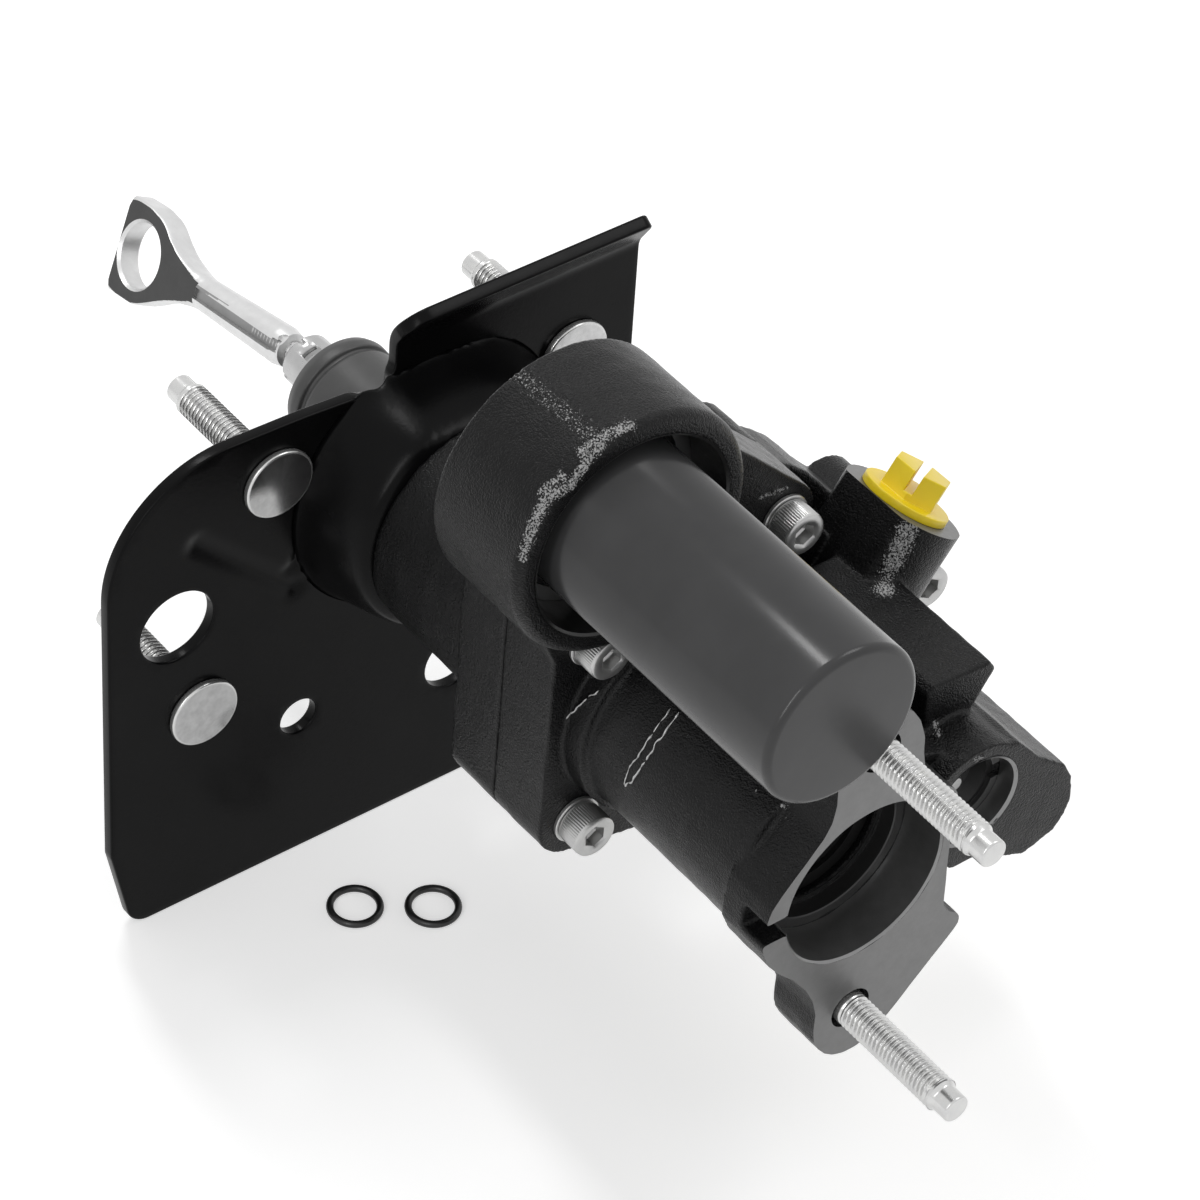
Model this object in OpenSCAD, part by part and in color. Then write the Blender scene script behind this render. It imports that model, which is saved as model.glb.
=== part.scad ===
// Hydraulic brake booster: firewall bracket, two-piece casting, accumulator and valve works

/* [Bracket] */
// Thickness of the bracket plate
plate_t = 4; // [3.6:0.1:4.4]
// Radius of the firewall stud heads
stud_head_r = 10.8; // [9.5:0.1:11.2]
/* [Castings] */
// Radius of the rear cover's neck
neck_r = 34.8; // [33:0.1:35.5]
// Radius of the housing's round body
body_r = 30.8; // [29:0.1:33]
// Thickness of the housing's bolting flange
flange_t = 21; // [20:0.1:22]
// Outer radius of the accumulator cup
cup_r = 36.5; // [35.5:0.1:37.5]
// Radius of the pilot bore in the front flange
pilot_r = 25.3; // [24:0.1:26]
// Depth of the pilot bore
pilot_depth = 15; // [13:0.5:15]
// Radius of the port boss
port_boss_r = 17.6; // [16:0.1:18]
/* [Accumulator] */
// Outer radius of the accumulator can
can_r = 23.7; // [22.5:0.1:24.5]
// Length of the can ahead of its lip
can_len = 100.3; // [96:0.1:106]
/* [Works] */
// Radius of the power piston
piston_r = 18.95; // [18:0.05:19.5]
// Radius of the input rod
rod_r = 6; // [5.5:0.05:6]
// Radius of the spool valve
spool_r = 9; // [8.5:0.05:9.5]
// Running clearance on the radius
run = 0.05; // [0.02:0.01:0.08]
// Outer radius of the boot
boot_r = 17.2; // [16.5:0.1:17.3]
/* [Studs] */
// Radius of the M10 studs
stud_r = 4.93; // [4.8:0.01:5]
// Height of the master cylinder studs above the flange
stud_out = 43.5; // [38:0.5:46]

/* [Hidden] */
$fn = 96;
steel = "silver";
black = "dimgray";
joint_x = 91.3;
seat_x = joint_x + flange_t;
face_x = 197.3;
neck_x = 28;
screw_p = [[-27.2, -31.1], [-25.9, 32.4], [36.5, 44.6], [84.5, 1.5], [50, -45]];
screw_lug = [11.7, 11.7, 10.2, 11.7, 11.7];
cup_p = [-27, 80];
cup_floor = 104.5;
cup_in_r = can_r + 6.1;
can_x = cup_floor + 6;
spool_p = [45.6, -4.3];
tilt = atan2(4.3, 45.6);
spool_y = sqrt(45.6 * 45.6 + 4.3 * 4.3);
port_x = [117.4, 150];
port_len = 48.7;
port_lean = 36;
pivot = [68, 7.8];
lever_l = 39.5;
lever_s = 8.32;
lever_a = asin(14.5 / lever_l);
bore_r = piston_r + run;
press_r = stud_r + 0.17;
dog_r = stud_r - 0.88;
can_edge = 2.2;
spool_bore_r = spool_r + run;
ball_x = -51;
droop = 11.26;
roll = -26.5;
firewall_p = [[-49.85, 19.85], [49.85, 19.85], [-73.9, -52.3], [73.9, -52.3]];

module rod_x(x0, x1, r) {
  translate([x0, 0, 0])
    rotate([0, 90, 0])
      cylinder(h = x1 - x0, r = r);
}
module at_p(p) {
  translate([0, p[0], p[1]])
    children();
}
module slab(x0, x1) {
  translate([x0, 0, 0])
    rotate([90, 0, 90])
      linear_extrude(x1 - x0)
        children();
}
module turned(pts) {
  rotate([0, 90, 0])
    rotate_extrude()
      polygon(pts);
}
module ring_x(x0, x1, ro, ri) {
  turned([[ri, x0], [ro, x0], [ro, x1], [ri, x1]]);
}
module torus_x(x, r, w) {
  translate([x, 0, 0])
    rotate([0, 90, 0])
      rotate_extrude()
        translate([r, 0])
          circle(w, $fn = 32);
}
module tilted() {
  rotate([-tilt, 0, 0])
    children();
}
// two circles and the belt around them
module belt(p, rp, q, rq) {
  d = norm(q - p);
  t = atan2(q[1] - p[1], q[0] - p[0]);
  a = acos((rp - rq) / d);
  translate(p)
    circle(rp);
  translate(q)
    circle(rq);
  polygon([
    p + rp * [cos(t + a), sin(t + a)], q + rq * [cos(t + a), sin(t + a)],
    q + rq * [cos(t - a), sin(t - a)], p + rp * [cos(t - a), sin(t - a)]
  ]);
}
// the same outline as points: two arcs joined by straight sides
function belt_pts(p, ra, q, rb, n = 12) =
  let(t = atan2(q[1] - p[1], q[0] - p[0]), a = acos((ra - rb) / norm(q - p)))
  concat(
    [for (i = [0:n]) let(g = t + a + i * (360 - 2 * a) / n) p + ra * [cos(g), sin(g)]],
    [for (i = [0:n]) let(g = t - a + i * 2 * a / n) q + rb * [cos(g), sin(g)]]);
module helix_x(x0, len, r, w, turns, n = 20) {
  steps = turns * n;
  rotate([0, 90, 0])
    translate([0, 0, x0])
      coil(len, r, w, turns, n);
}
// one closed strip of flat quads wound round Z
module coil(len, r, w, turns, n) {
  m = 8;
  steps = turns * n;
  pts = [for (i = [0:steps]) for (k = [0:m - 1])
    let(a = 360 * i / n, b = 360 * k / m, q = r + w * cos(b))
    [q * cos(a), q * sin(a), w + (len - 2 * w) * i / steps + w * sin(b)]];
  faces = [for (i = [0:steps - 1]) for (k = [0:m - 1])
    [i * m + k, (i + 1) * m + k, (i + 1) * m + (k + 1) % m, i * m + (k + 1) % m]];
  polyhedron(points = pts, faces = concat(faces,
    [[for (k = [0:m - 1]) k]], [[for (k = [m - 1:-1:0]) steps * m + k]]), convexity = 10);
}

// bracket
flare_a = 33;
flare_z = 47.5;
function arc(c, r, a0, a1, n = 8) =
  [for (i = [0:n]) let(a = a0 + (a1 - a0) * i / n) c + r * [cos(a), sin(a)]];
plate_pts = concat(
  arc([-56, -2.5], 48, 90, 180, 24),
  [[-103.9, -94]],
  arc([-91.6, -117.4], 7, 194, 270),
  arc([84.6, -117.4], 7, 270, 346),
  [[96.9, -94], [96.9, -36], [71.5, -8]],
  arc([68.5, 58.3], 3, 0, 90, 5),
  arc([-6.7, 57.3], 4, 90, 176, 6),
  arc([-14, 48.5], 3, 350, 270, 6)
);
module plate_outline() {
  difference() {
    polygon(plate_pts);
    translate([-81.7, -17.6])
      circle(11.8);
    translate([-40.9, -72.6])
      circle(6);
    translate([13, -78.5])
      circle(9.6);
  }
}
module flare_profile() {
  tip = 9 * [sin(flare_a), cos(flare_a)];
  out = plate_t + 8;
  translate([out, flare_z])
    polygon(concat(
      arc([0, 0], out, 180, 180 - flare_a), [out * [-cos(flare_a), sin(flare_a)] + tip],
      [8 * [-cos(flare_a), sin(flare_a)] + tip], arc([0, 0], 8, 180 - flare_a, 180)));
}
module mounting_bracket() {
  color(black)
    difference() {
      union() {
        difference() {
          slab(0, plate_t)
            plate_outline();
          translate([-1, -14, flare_z])
            cube([20, 100, 30]);
          rod_x(-1, plate_t + 1, 40);
        }
        intersection() {
          translate([0, 80, 0])
            rotate([90, 0, 0])
              linear_extrude(94)
                flare_profile();
          slab(-1, 20)
            plate_outline();
        }
        turned([[22.5, neck_x], [36, neck_x], [37, neck_x - 1], [42.5, plate_t], [42.5, 0], [38.6, 0],
          [33, neck_x - plate_t], [22.5, neck_x - plate_t]]);
      }
      for (p = firewall_p)
        at_p(p)
          turned([[0, -1], [press_r + 2, -1], [press_r + 2, 0], [press_r, 2], [press_r, plate_t + 1],
            [0, plate_t + 1]]);
    }
}
module firewall_studs() {
  color(steel)
    for (p = firewall_p)
      at_p(p)
        turned([[0, -stud_out], [dog_r - 0.35, -stud_out], [dog_r, 0.4 - stud_out], [dog_r, 5.2 - stud_out],
          [stud_r, 6.4 - stud_out], [stud_r, 0.3], [press_r, 0.3], [press_r, plate_t], [stud_head_r, plate_t],
          [stud_head_r, plate_t + 1.6], [stud_head_r - 0.5, plate_t + 2.1], [0, plate_t + 2.1]]);
}
module bracket_nut() {
  color(steel)
    difference() {
      translate([11, 0, 0])
        rotate([0, 90, 0])
          cylinder(h = neck_x - plate_t - 11, r = 30, $fn = 6);
      rod_x(10, neck_x, 22.5);
    }
}

// castings
module flange_outline() {
  for (i = [0, 1, 3, 4]) {
    j = (i + 1) % 5;
    belt(screw_p[i], screw_lug[i], screw_p[j], screw_lug[j]);
  }
  polygon(screw_p);
  circle(37.5);
}
module cover_outline() {
  flange_outline();
  polygon([screw_p[2], [44.6, 50.7], [52.6, 40.2], [58.2, 36.3], [63.3, 31.6], [68.2, 25.8], [72, 20.8],
    [80, 12.3], screw_p[3]]);
}
module lever_room(x0, x1) {
  tilted()
    translate([x0, 10, -8.5])
      cube([x1 - x0, 45, 17]);
}
module cover() {
  color(black)
    difference() {
      union() {
        rod_x(8, neck_x + 1, 22.5);
        rod_x(neck_x, 73, neck_r);
        slab(72, joint_x)
          cover_outline();
        slab(69.5, 73)
          belt([0, 0], 30, spool_p, 15.5);
      }
      rod_x(46, joint_x + 1, 24);
      tilted()
        translate([60, 0, -8.5])
          cube([40, 31.5, 17]);
      lever_room(73.4, joint_x + 1);
      rod_x(7, 47, rod_r + run);
      rod_x(7, 20, 17.4);
      rod_x(38, 47, 11);
      for (p = screw_p)
        at_p(p)
          rod_x(75.5, joint_x + 1, 4);
    }
}
module front_outline() {
  polygon([[5.1, 59.1], [9.2, 55.6], [12.2, 50.9], [14.4, 43.9], [14.7, 38.4], [16.2, 31], [19.9, 25.8],
    [27.5, 18.8], [28.9, 15.9], [28.4, 4], [28.4, -5.5], [28.8, -13.2], [29.1, -24.3], [30.1, -26.7],
    [32.1, -28.9], [34.5, -30.5], [35.6, -32.5], [35.5, -34.6], [34.5, -36.2], [13.7, -57.3], [10.5, -60],
    [7.5, -61.9], [3.5, -63.2], [-0.5, -63.1], [-4.5, -61.7], [-7.4, -59.6], [-9.8, -56.4],
    [-11.6, -52.6], [-12.2, -48.2], [-12.1, -41.9], [-13.4, -36.3], [-16.4, -30.2], [-21.3, -23.5],
    [-27.4, -17.1], [-30.7, -12.7], [-32.9, -6.8], [-33.2, -4], [-32.9, 0], [-32.3, 4], [-31.2, 7.4],
    [-28.4, 11.2], [-21.4, 18.9], [-16.2, 24.7], [-13.9, 29.1], [-13, 34.8], [-13.3, 40.6],
    [-12.8, 47.5], [-9.8, 54.5], [-4.5, 59.6], [0, 60.6]]);
}
module spool_outline() {
  translate(spool_p)
    circle(18.75);
  polygon([[31, -12], [34, 8], [45.6, 14.45], [59.3, 10], [67.4, 0.3], [77.8, -8.2], [80.9, -14.2],
    [81.8, -22], [80.1, -27.4], [76.8, -31.9], [71.1, -34], [66.3, -35.1], [61.6, -33],
    [47.7, -26.4], [39.8, -26]]);
}
module port_frame(i) {
  translate([port_x[i], spool_p[0], spool_p[1]])
    rotate([port_sides[i], 0, 0])
      children();
}
port_sides = [-port_lean, 180];
port_lens = [port_len, 36];
module housing() {
  color(black)
    difference() {
      union() {
        slab(joint_x, seat_x)
          flange_outline();
        at_p(cup_p)
          rod_x(joint_x + 0.5, 127.3, cup_r);
        slab(joint_x + 0.5, seat_x)
          union() {
            belt(cup_p, 29.5, screw_p[1], 11.7);
            belt(cup_p, 29.5, screw_p[2], 10.2);
            polygon([cup_p, screw_p[1], screw_p[2]]);
          }
        rod_x(seat_x - 1, 120, body_r + 2.2);
        rod_x(seat_x - 1, 182, body_r);
        slab(face_x - 17, face_x)
          front_outline();
        slab(100, 187.3)
          spool_outline();
        slab(seat_x - 1, face_x - 16)
          polygon([[10, 24], [38, 13], [45.6, 0], [46, -24], [20, -24], [10, -24]]);
        port_frame(0)
          difference() {
            cylinder(h = port_lens[0], r = port_boss_r);
            translate([-20, -20 - 13.4, -1])
              cube([40, 20, 80]);
          }
        port_frame(1)
          cylinder(h = port_lens[1], r = port_boss_r - 1.2);
        slab(port_x[0], 172.3)
          polygon([[38, 10], [38, 26], [40.6, 27.9], [59.8, 26.8], [62, 23.3], [55.8, 13.9], [50, 6]]);
      }
      rod_x(face_x - pilot_depth, face_x + 1, pilot_r);
      rod_x(177.3, face_x, 22);
      rod_x(100, 178, bore_r);
      rod_x(171, 178, bore_r + 1.25);
      rod_x(173.4, 174.8, bore_r + 2.2);
      rod_x(joint_x - 1, 106.1, 24);
      tilted()
        translate([90, 0, -8.5])
          cube([10, 31, 17]);
      tilted()
        translate([90, 0, -8.5])
          cube([7, 55, 17]);
      slab(joint_x - 1, joint_x + 2)
        seal_loop();
      at_p(spool_p) {
        rod_x(90, 187, spool_bore_r);
        rod_x(166, 188, 12.5);
        rod_x(180.9, 188, 13.8);
        rod_x(179.5, 180.9, 14.6);
      }
      for (i = [0, 1])
        port_frame(i) {
          translate([0, 0, port_lens[i] - 15])
            cylinder(h = 16, r = 8);
          cylinder(h = port_lens[i] - 10, r = 3);
        }
      translate([122, 10, 0])
        rotate([-90 - tilt, 0, 0])
          cylinder(h = 30, r = 2);
      at_p(cup_p) {
        rod_x(cup_floor, 128, cup_in_r);
        rod_x(95.6, cup_floor + 1, 4.2);
        rod_x(can_x, can_x + 1.6, cup_in_r + 1.1);
      }
      translate([101.2, cup_p[0], cup_p[1]])
        rotate([-acos((spool_p[1] - cup_p[1]) / norm(spool_p - cup_p)), 0, 0])
          cylinder(h = norm(spool_p - cup_p), r = 1.6);
      for (p = screw_p)
        at_p(p)
          rod_x(joint_x - 1, seat_x + 1, 4.5);
      translate([face_x - 9, -36, -4.4])
        cube([10, 16, 7]);
      for (s = [-1, 1])
        at_p([0, s * 46.3])
          turned([[0, face_x - 14], [press_r, face_x - 14], [press_r, face_x - 2], [press_r + 2, face_x],
            [press_r + 2, face_x + 1], [0, face_x + 1]]);
    }
}
module seal_loop() {
  difference() {
    polygon(belt_pts([0, 0], 28.4, spool_p, 16.4));
    polygon(belt_pts([0, 0], 26, spool_p, 14));
  }
}
module housing_seal() {
  color("black")
    slab(joint_x, joint_x + 2)
      seal_loop();
}
module cover_screws() {
  color(steel)
    for (p = screw_p)
      at_p(p)
        difference() {
          turned([[0, 77], [3.2, 77], [4, 77.8], [4, seat_x + 1.2], [6.5, seat_x + 1.2],
            [6.5, seat_x + 8.7], [6, seat_x + 9.2], [0, seat_x + 9.2]]);
          translate([seat_x + 5, 0, 0])
            rotate([0, 90, 0])
              cylinder(h = 6, r = 3.46, $fn = 6);
        }
}
module screw_washers() {
  color(steel)
    for (p = screw_p)
      at_p(p)
        ring_x(seat_x, seat_x + 1.2, 7.2, 4.3);
}
module master_cylinder_studs() {
  color(steel)
    for (s = [-1, 1])
      at_p([0, s * 46.3])
        turned([[0, face_x - 14], [4, face_x - 14], [press_r, face_x - 13], [press_r, face_x - 0.3],
          [stud_r, face_x - 0.3], [stud_r, face_x + stud_out - 6.4], [dog_r, face_x + stud_out - 5.2],
          [dog_r, face_x + stud_out - 0.4], [dog_r - 0.35, face_x + stud_out], [0, face_x + stud_out]]);
}

// power piston and its spring
module power_piston() {
  color(steel)
    difference() {
      turned([[0, 58], [piston_r - 1, 58], [piston_r, 59], [piston_r, 112], [16.5, 112], [16.5, 116],
        [piston_r, 116], [piston_r, 123.5], [piston_r - 0.5, 124], [10.5, 124], [10.5, 151],
        [9.5, 152], [6, 152], [6, 134], [0, 131]]);
      tilted() {
        translate([57, -20, -6.5])
          cube([23.5, 40, 13]);
        translate([pivot[0], pivot[1], -20])
          cylinder(h = 40, r = 3.02);
      }
    }
}
module piston_seal() {
  color("black")
    ring_x(112, 116, piston_r, 16.5);
}
module return_spring() {
  color(steel)
    helix_x(124, 47, 14.6, 1.2, 5);
}
module spring_seat() {
  color(steel)
    ring_x(171, 173.4, bore_r + 1.2, 11.2);
}
module seat_ring() {
  color(steel)
    difference() {
      ring_x(173.4, 174.8, bore_r + 2.2, 16);
      translate([173, -3, 10])
        cube([3, 6, 12]);
    }
}

// input side
module input_rod() {
  color(steel)
    difference() {
      rotate([0, 90, 0])
        rotate_extrude()
          difference() {
            polygon([[0, -54.6], [7.2, -54.6], [8, -53.6], [8, -44.5], [7, -43], [rod_r, -41.5],
              [rod_r, 69.5], [rod_r - 1, 70.5], [0, 70.5]]);
            translate([0, ball_x])
              circle(5.25, $fn = 64);
            polygon([[0, -56], [6.4, -56], [4.6, -53], [0, -53]]);
          }
      for (a = [0, 90])
        rotate([a + 15, 0, 0])
          translate([-56, -0.8, -10])
            cube([4, 1.6, 20]);
      tilted() {
        for (z = [2.5, -12.5])
          translate([57, -10, z])
            cube([20, 20, 10]);
        translate([57, 4.3, -10])
          cube([20, 6, 20]);
        translate([input_pin_x(), 0, -5])
          slot_hole(2.35, 0.7);
      }
    }
}
function input_pin_x() = pivot[0] - lever_s * sin(lever_a);
function input_pin_y() = pivot[1] - lever_s * cos(lever_a);
function spool_pin_x() = pivot[0] + lever_l * sin(lever_a);
function spool_pin_y() = pivot[1] + lever_l * cos(lever_a);
module slot_hole(r, s) {
  linear_extrude(10)
    union() {
      translate([0, s])
        circle(r);
      translate([0, -s])
        circle(r);
      translate([-r, -s])
        square([2 * r, 2 * s]);
    }
}
module input_seal() {
  color("black")
    ring_x(38, 44, 11, rod_r + run);
}
module seal_retainer() {
  color(steel)
    ring_x(44, 45.5, 11, rod_r + 0.5);
}
module input_boot() {
  color("black")
    turned([[rod_r + 0.03, -39.5], [boot_r - 1.2, -39.5], [boot_r, -38.3], [boot_r, -34.6],
      [boot_r - 1.2, -33.6], [boot_r - 1.2, -33], [boot_r - 0.4, -32], [boot_r - 0.4, 7], [17.4, 8], [17.4, 13],
      [boot_r - 2.4, 13], [boot_r - 2.4, -31.5], [boot_r - 3.6, -36.8], [rod_r + 0.03, -36.8]]);
}
module pedal_frame() {
  translate([ball_x, 0, 0])
    rotate([0, -droop, 0])
      rotate([roll, 0, 0])
        children();
}
module ball_stud() {
  color(steel)
    pedal_frame()
      union() {
        sphere(5.2, $fn = 64);
        rod_x(-8, -3, 2.9);
        rod_x(-26, -7.6, 3.4);
      }
}
module pedal_rod() {
  color(steel)
    pedal_frame()
      difference() {
        union() {
          intersection() {
            rotate([90, 0, 0])
              translate([0, 0, -7])
                linear_extrude(14)
                  polygon([[-95.3, -9], [-93.6, -14.3], [-81, -14.3], [-72, -10], [-65.5, -6.6], [-53.4, -4.4],
                    [-53.4, 4.4], [-65.5, 7.2], [-72, 10.4], [-79, 14], [-84, 15], [-93.6, 15], [-95.3, 9]]);
            translate([-100, -4, -20])
              cube([60, 8, 40]);
          }
          turned([[0, -66], [4, -66], [4.9, -56], [6, -14], [5.2, -9.6], [3.4, -8.6], [0, -8.6]]);
        }
        translate([-84.4, 10, 0])
          rotate([90, 0, 0])
            cylinder(h = 20, r = 9.86);
        rod_x(-27, -8, 3.4);
        translate([-52, -8, -1.6])
          cube([40, 5.4, 3.2]);
        translate([-18, 3, -1.6])
          cube([6, 5.4, 3.2]);
      }
}

// lever
module lever_half() {
  linear_extrude(2.6)
    difference() {
      union() {
        circle(5.6);
        polygon(belt_pts([0, 6], 3.4, [0, lever_l - 6], 2.8));
        translate([0, lever_l])
          circle(4.4);
        translate([0, -lever_s])
          circle(3.4);
        translate([-2.6, -lever_s])
          square([5.2, 9]);
      }
      translate([0, lever_l])
        circle(3);
      translate([0, -lever_s])
        circle(2);
      circle(3 + run);
    }
}
module lever_frame() {
  tilted()
    translate([pivot[0], pivot[1], 0])
      rotate([0, 0, -lever_a])
        children();
}
module lever() {
  color(steel)
    lever_frame()
      difference() {
        union() {
          translate([0, 0, 3.2])
            lever_half();
          translate([0, 0, -5.8])
            lever_half();
          translate([0, 17, -5])
            cylinder(h = 10, r = 3.5);
        }
      }
}
module lever_pivot_pin() {
  color(steel)
    lever_frame()
      translate([0, 0, -16])
        cylinder(h = 32, r = 3);
}
module lever_input_pin() {
  color(steel)
    lever_frame()
      translate([0, -lever_s, -5.8])
        cylinder(h = 11.6, r = 2);
}
module lever_spool_pin() {
  color(steel)
    lever_frame()
      translate([0, lever_l, -5.8])
        cylinder(h = 11.6, r = 3);
}

// spool valve
module spool_valve() {
  color(steel)
    difference() {
      union() {
        intersection() {
          tilted()
            translate([77.3, spool_y - 8, -2.5])
              cube([18.2, 16, 5]);
          at_p(spool_p)
            rod_x(77, 96, 8.6);
        }
        at_p(spool_p)
          turned([[0, 93], [4, 93], [4, 97.5], [spool_r, 97.5], [spool_r, 106], [6.5, 106], [6.5, 112],
            [spool_r, 112], [spool_r, 122.5], [6.5, 122.5], [6.5, 130], [spool_r, 130],
            [spool_r, 138], [5, 138], [5, 141], [0, 141]]);
      }
      tilted()
        translate([spool_pin_x(), pivot[1] + lever_l * (1 + cos(lever_a)) / 2, -5])
          slot_hole(3.4, lever_l * (1 - cos(lever_a)) / 2 + 0.3);
    }
}
module spool_spring() {
  color(steel)
    at_p(spool_p)
      helix_x(138, 30, 6.6, 0.8, 7);
}
module spool_plug() {
  color(steel)
    at_p(spool_p)
      turned([[2.6, 168], [10, 168], [10, 171], [12.5, 171], [12.5, 172.4], [11, 172.4], [11, 175],
        [12.5, 175], [12.5, 179.5], [10.4, 179.5], [8, 176], [2.6, 175]]);
}
module plug_pin() {
  color(steel)
    at_p(spool_p)
      turned([[0, 168], [2.6, 168], [2.6, 178.6], [2, 179.4], [0, 179.4]]);
}
module spool_plug_o_ring() {
  color("black")
    at_p(spool_p)
      ring_x(172.4, 175, 12.5, 11);
}
module spool_retaining_ring() {
  color(steel)
    at_p(spool_p)
      difference() {
        ring_x(179.5, 180.9, 14.6, 11.4);
        translate([179, 6, -2.5])
          cube([3, 12, 5]);
      }
}

// accumulator
module accumulator_can() {
  color("gray")
    at_p(cup_p)
      rotate([0, 90, 0])
        rotate_extrude()
          difference() {
            union() {
              translate([0, can_x - 2])
                square([can_r, can_len + 2 - can_edge]);
              translate([0, can_x - 2])
                square([cup_in_r - 0.3, 2]);
              translate([0, can_x - 2])
                square([can_r - can_edge, can_len + 2]);
              translate([can_r - can_edge, can_x + can_len - can_edge])
                circle(can_edge, $fn = 64);
            }
            translate([0, can_x - 3])
              square([can_r - 2.4, can_len - 0.6]);
          }
}
module accumulator_base() {
  color(steel)
    at_p(cup_p)
      difference() {
        turned([[2, cup_floor], [cup_in_r - 0.3, cup_floor], [cup_in_r - 0.3, can_x - 2], [can_r - 2.5, can_x - 2],
          [can_r - 2.5, can_x + 3], [2, can_x + 3]]);
        torus_x(cup_floor, cup_in_r - 4, 1.2);
      }
}
module accumulator_o_ring() {
  color("black")
    at_p(cup_p)
      intersection() {
        torus_x(cup_floor, cup_in_r - 4, 1.2);
        rod_x(cup_floor, cup_floor + 3, cup_r);
      }
}
module accumulator_ring() {
  color(steel)
    at_p(cup_p)
      difference() {
        ring_x(can_x, can_x + 1.6, cup_in_r + 1.1, can_r + 2);
        translate([can_x, -4, -40])
          cube([6, 8, 16]);
      }
}
module accumulator_piston() {
  color("gray")
    at_p(cup_p)
      turned([[0, 146], [can_r - 3.4, 146], [can_r - 2.45, 147], [can_r - 2.45, 152], [can_r - 5, 152],
        [can_r - 5, 155], [can_r - 2.45, 155], [can_r - 2.45, 162], [can_r - 7, 162],
        [can_r - 8, 151], [0, 151]]);
}
module accumulator_piston_seal() {
  color("black")
    at_p(cup_p)
      ring_x(152, 155, can_r - 2.45, can_r - 5);
}
module check_ball() {
  color(steel)
    at_p(cup_p)
      translate([101.4, 0, 0])
        sphere(3.1, $fn = 48);
}
module check_spring() {
  color(steel)
    at_p(cup_p)
      helix_x(95.6, 3.4, 2.4, 0.35, 3, 16);
}

// ports
module port_plugs() {
  color("gold")
    for (i = [0, 1])
      port_frame(i)
        translate([0, 0, port_lens[i]])
          difference() {
            union() {
              cylinder(h = 2.4, r = 12.9);
              translate([0, 0, -9])
                cylinder(h = 9.1, r = 7.9);
              rotate([0, 0, -58])
                cylinder(h = 10.6, r = 9, $fn = 6);
            }
            rotate([0, 0, -58])
              translate([-12, -1.3, 4.6])
                cube([24, 2.6, 10]);
          }
}
module port_o_rings() {
  color("black")
    for (p = [[33.9, -41.2], [46.4, -22.7]])
      translate([p[0], p[1], -123.45])
        rotate_extrude()
          translate([7.05, 0])
            circle(0.95, $fn = 32);
}

// origin midway between the upper firewall studs, on the plate's rear face
module placed() {
  translate([0, 0, -firewall_p[0][1]])
    children();
}
placed() mounting_bracket();
placed() firewall_studs();
placed() bracket_nut();
placed() cover();
placed() housing();
placed() housing_seal();
placed() cover_screws();
placed() screw_washers();
placed() master_cylinder_studs();
placed() power_piston();
placed() piston_seal();
placed() return_spring();
placed() spring_seat();
placed() seat_ring();
placed() input_rod();
placed() input_seal();
placed() seal_retainer();
placed() input_boot();
placed() ball_stud();
placed() pedal_rod();
placed() lever();
placed() lever_pivot_pin();
placed() lever_input_pin();
placed() lever_spool_pin();
placed() spool_valve();
placed() spool_spring();
placed() spool_plug();
placed() spool_plug_o_ring();
placed() spool_retaining_ring();
placed() plug_pin();
placed() accumulator_can();
placed() accumulator_base();
placed() accumulator_o_ring();
placed() accumulator_ring();
placed() accumulator_piston();
placed() accumulator_piston_seal();
placed() check_ball();
placed() check_spring();
placed() port_plugs();
placed() port_o_rings();
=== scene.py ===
from math import cos, pi, radians, sin

import bmesh
import bpy
import numpy as np
from mathutils import Matrix, Vector
from mathutils.geometry import delaunay_2d_cdt


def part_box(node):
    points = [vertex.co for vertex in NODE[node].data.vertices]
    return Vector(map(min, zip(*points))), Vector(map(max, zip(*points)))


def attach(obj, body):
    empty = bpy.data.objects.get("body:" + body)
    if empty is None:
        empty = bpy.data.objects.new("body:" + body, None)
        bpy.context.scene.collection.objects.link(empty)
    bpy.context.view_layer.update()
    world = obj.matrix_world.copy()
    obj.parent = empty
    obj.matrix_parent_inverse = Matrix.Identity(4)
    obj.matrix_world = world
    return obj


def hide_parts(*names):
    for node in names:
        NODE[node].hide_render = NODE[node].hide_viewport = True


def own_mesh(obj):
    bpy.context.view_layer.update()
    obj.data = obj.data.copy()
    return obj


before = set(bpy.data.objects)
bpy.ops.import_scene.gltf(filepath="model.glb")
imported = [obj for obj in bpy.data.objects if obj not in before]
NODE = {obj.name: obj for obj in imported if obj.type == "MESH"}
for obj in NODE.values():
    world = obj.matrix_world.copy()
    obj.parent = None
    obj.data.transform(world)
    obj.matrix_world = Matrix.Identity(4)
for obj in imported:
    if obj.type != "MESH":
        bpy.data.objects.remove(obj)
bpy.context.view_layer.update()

# Camera: a long lens from the front left and above, at the photograph's angle. It is a
# fitted view: direction, roll, lens, distance and target are the numbers of that fit.
MM = 0.001
AXIS_Z = -19.85  # height of the main bore's axis over the upper firewall studs, mm
FACE_X = 197.3  # front flange face, mm
DISTANCE = 1.18856  # camera to target, m
FOCAL = 156.39  # for a sensor 36 mm wide
LEAN = 4.106  # roll, degrees
aim = Vector((FACE_X, -94.761, 145.488 + AXIS_Z)) * MM
ahead = Vector((-0.570, 0.475, -0.671)).normalized()
side = ahead.cross(Vector((0, 0, 1))).normalized()
over = side.cross(ahead)
lean = radians(LEAN)
right = side * cos(lean) + over * sin(lean)
top = over * cos(lean) - side * sin(lean)
lens = bpy.data.cameras.new("camera")
lens.sensor_width = 36
lens.lens = FOCAL
lens.clip_end = 20


def placed(name, data):
    """A new object of the scene with that mesh, lamp or lens."""
    obj = bpy.data.objects.new(name, data)
    bpy.context.scene.collection.objects.link(obj)
    return obj


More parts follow.
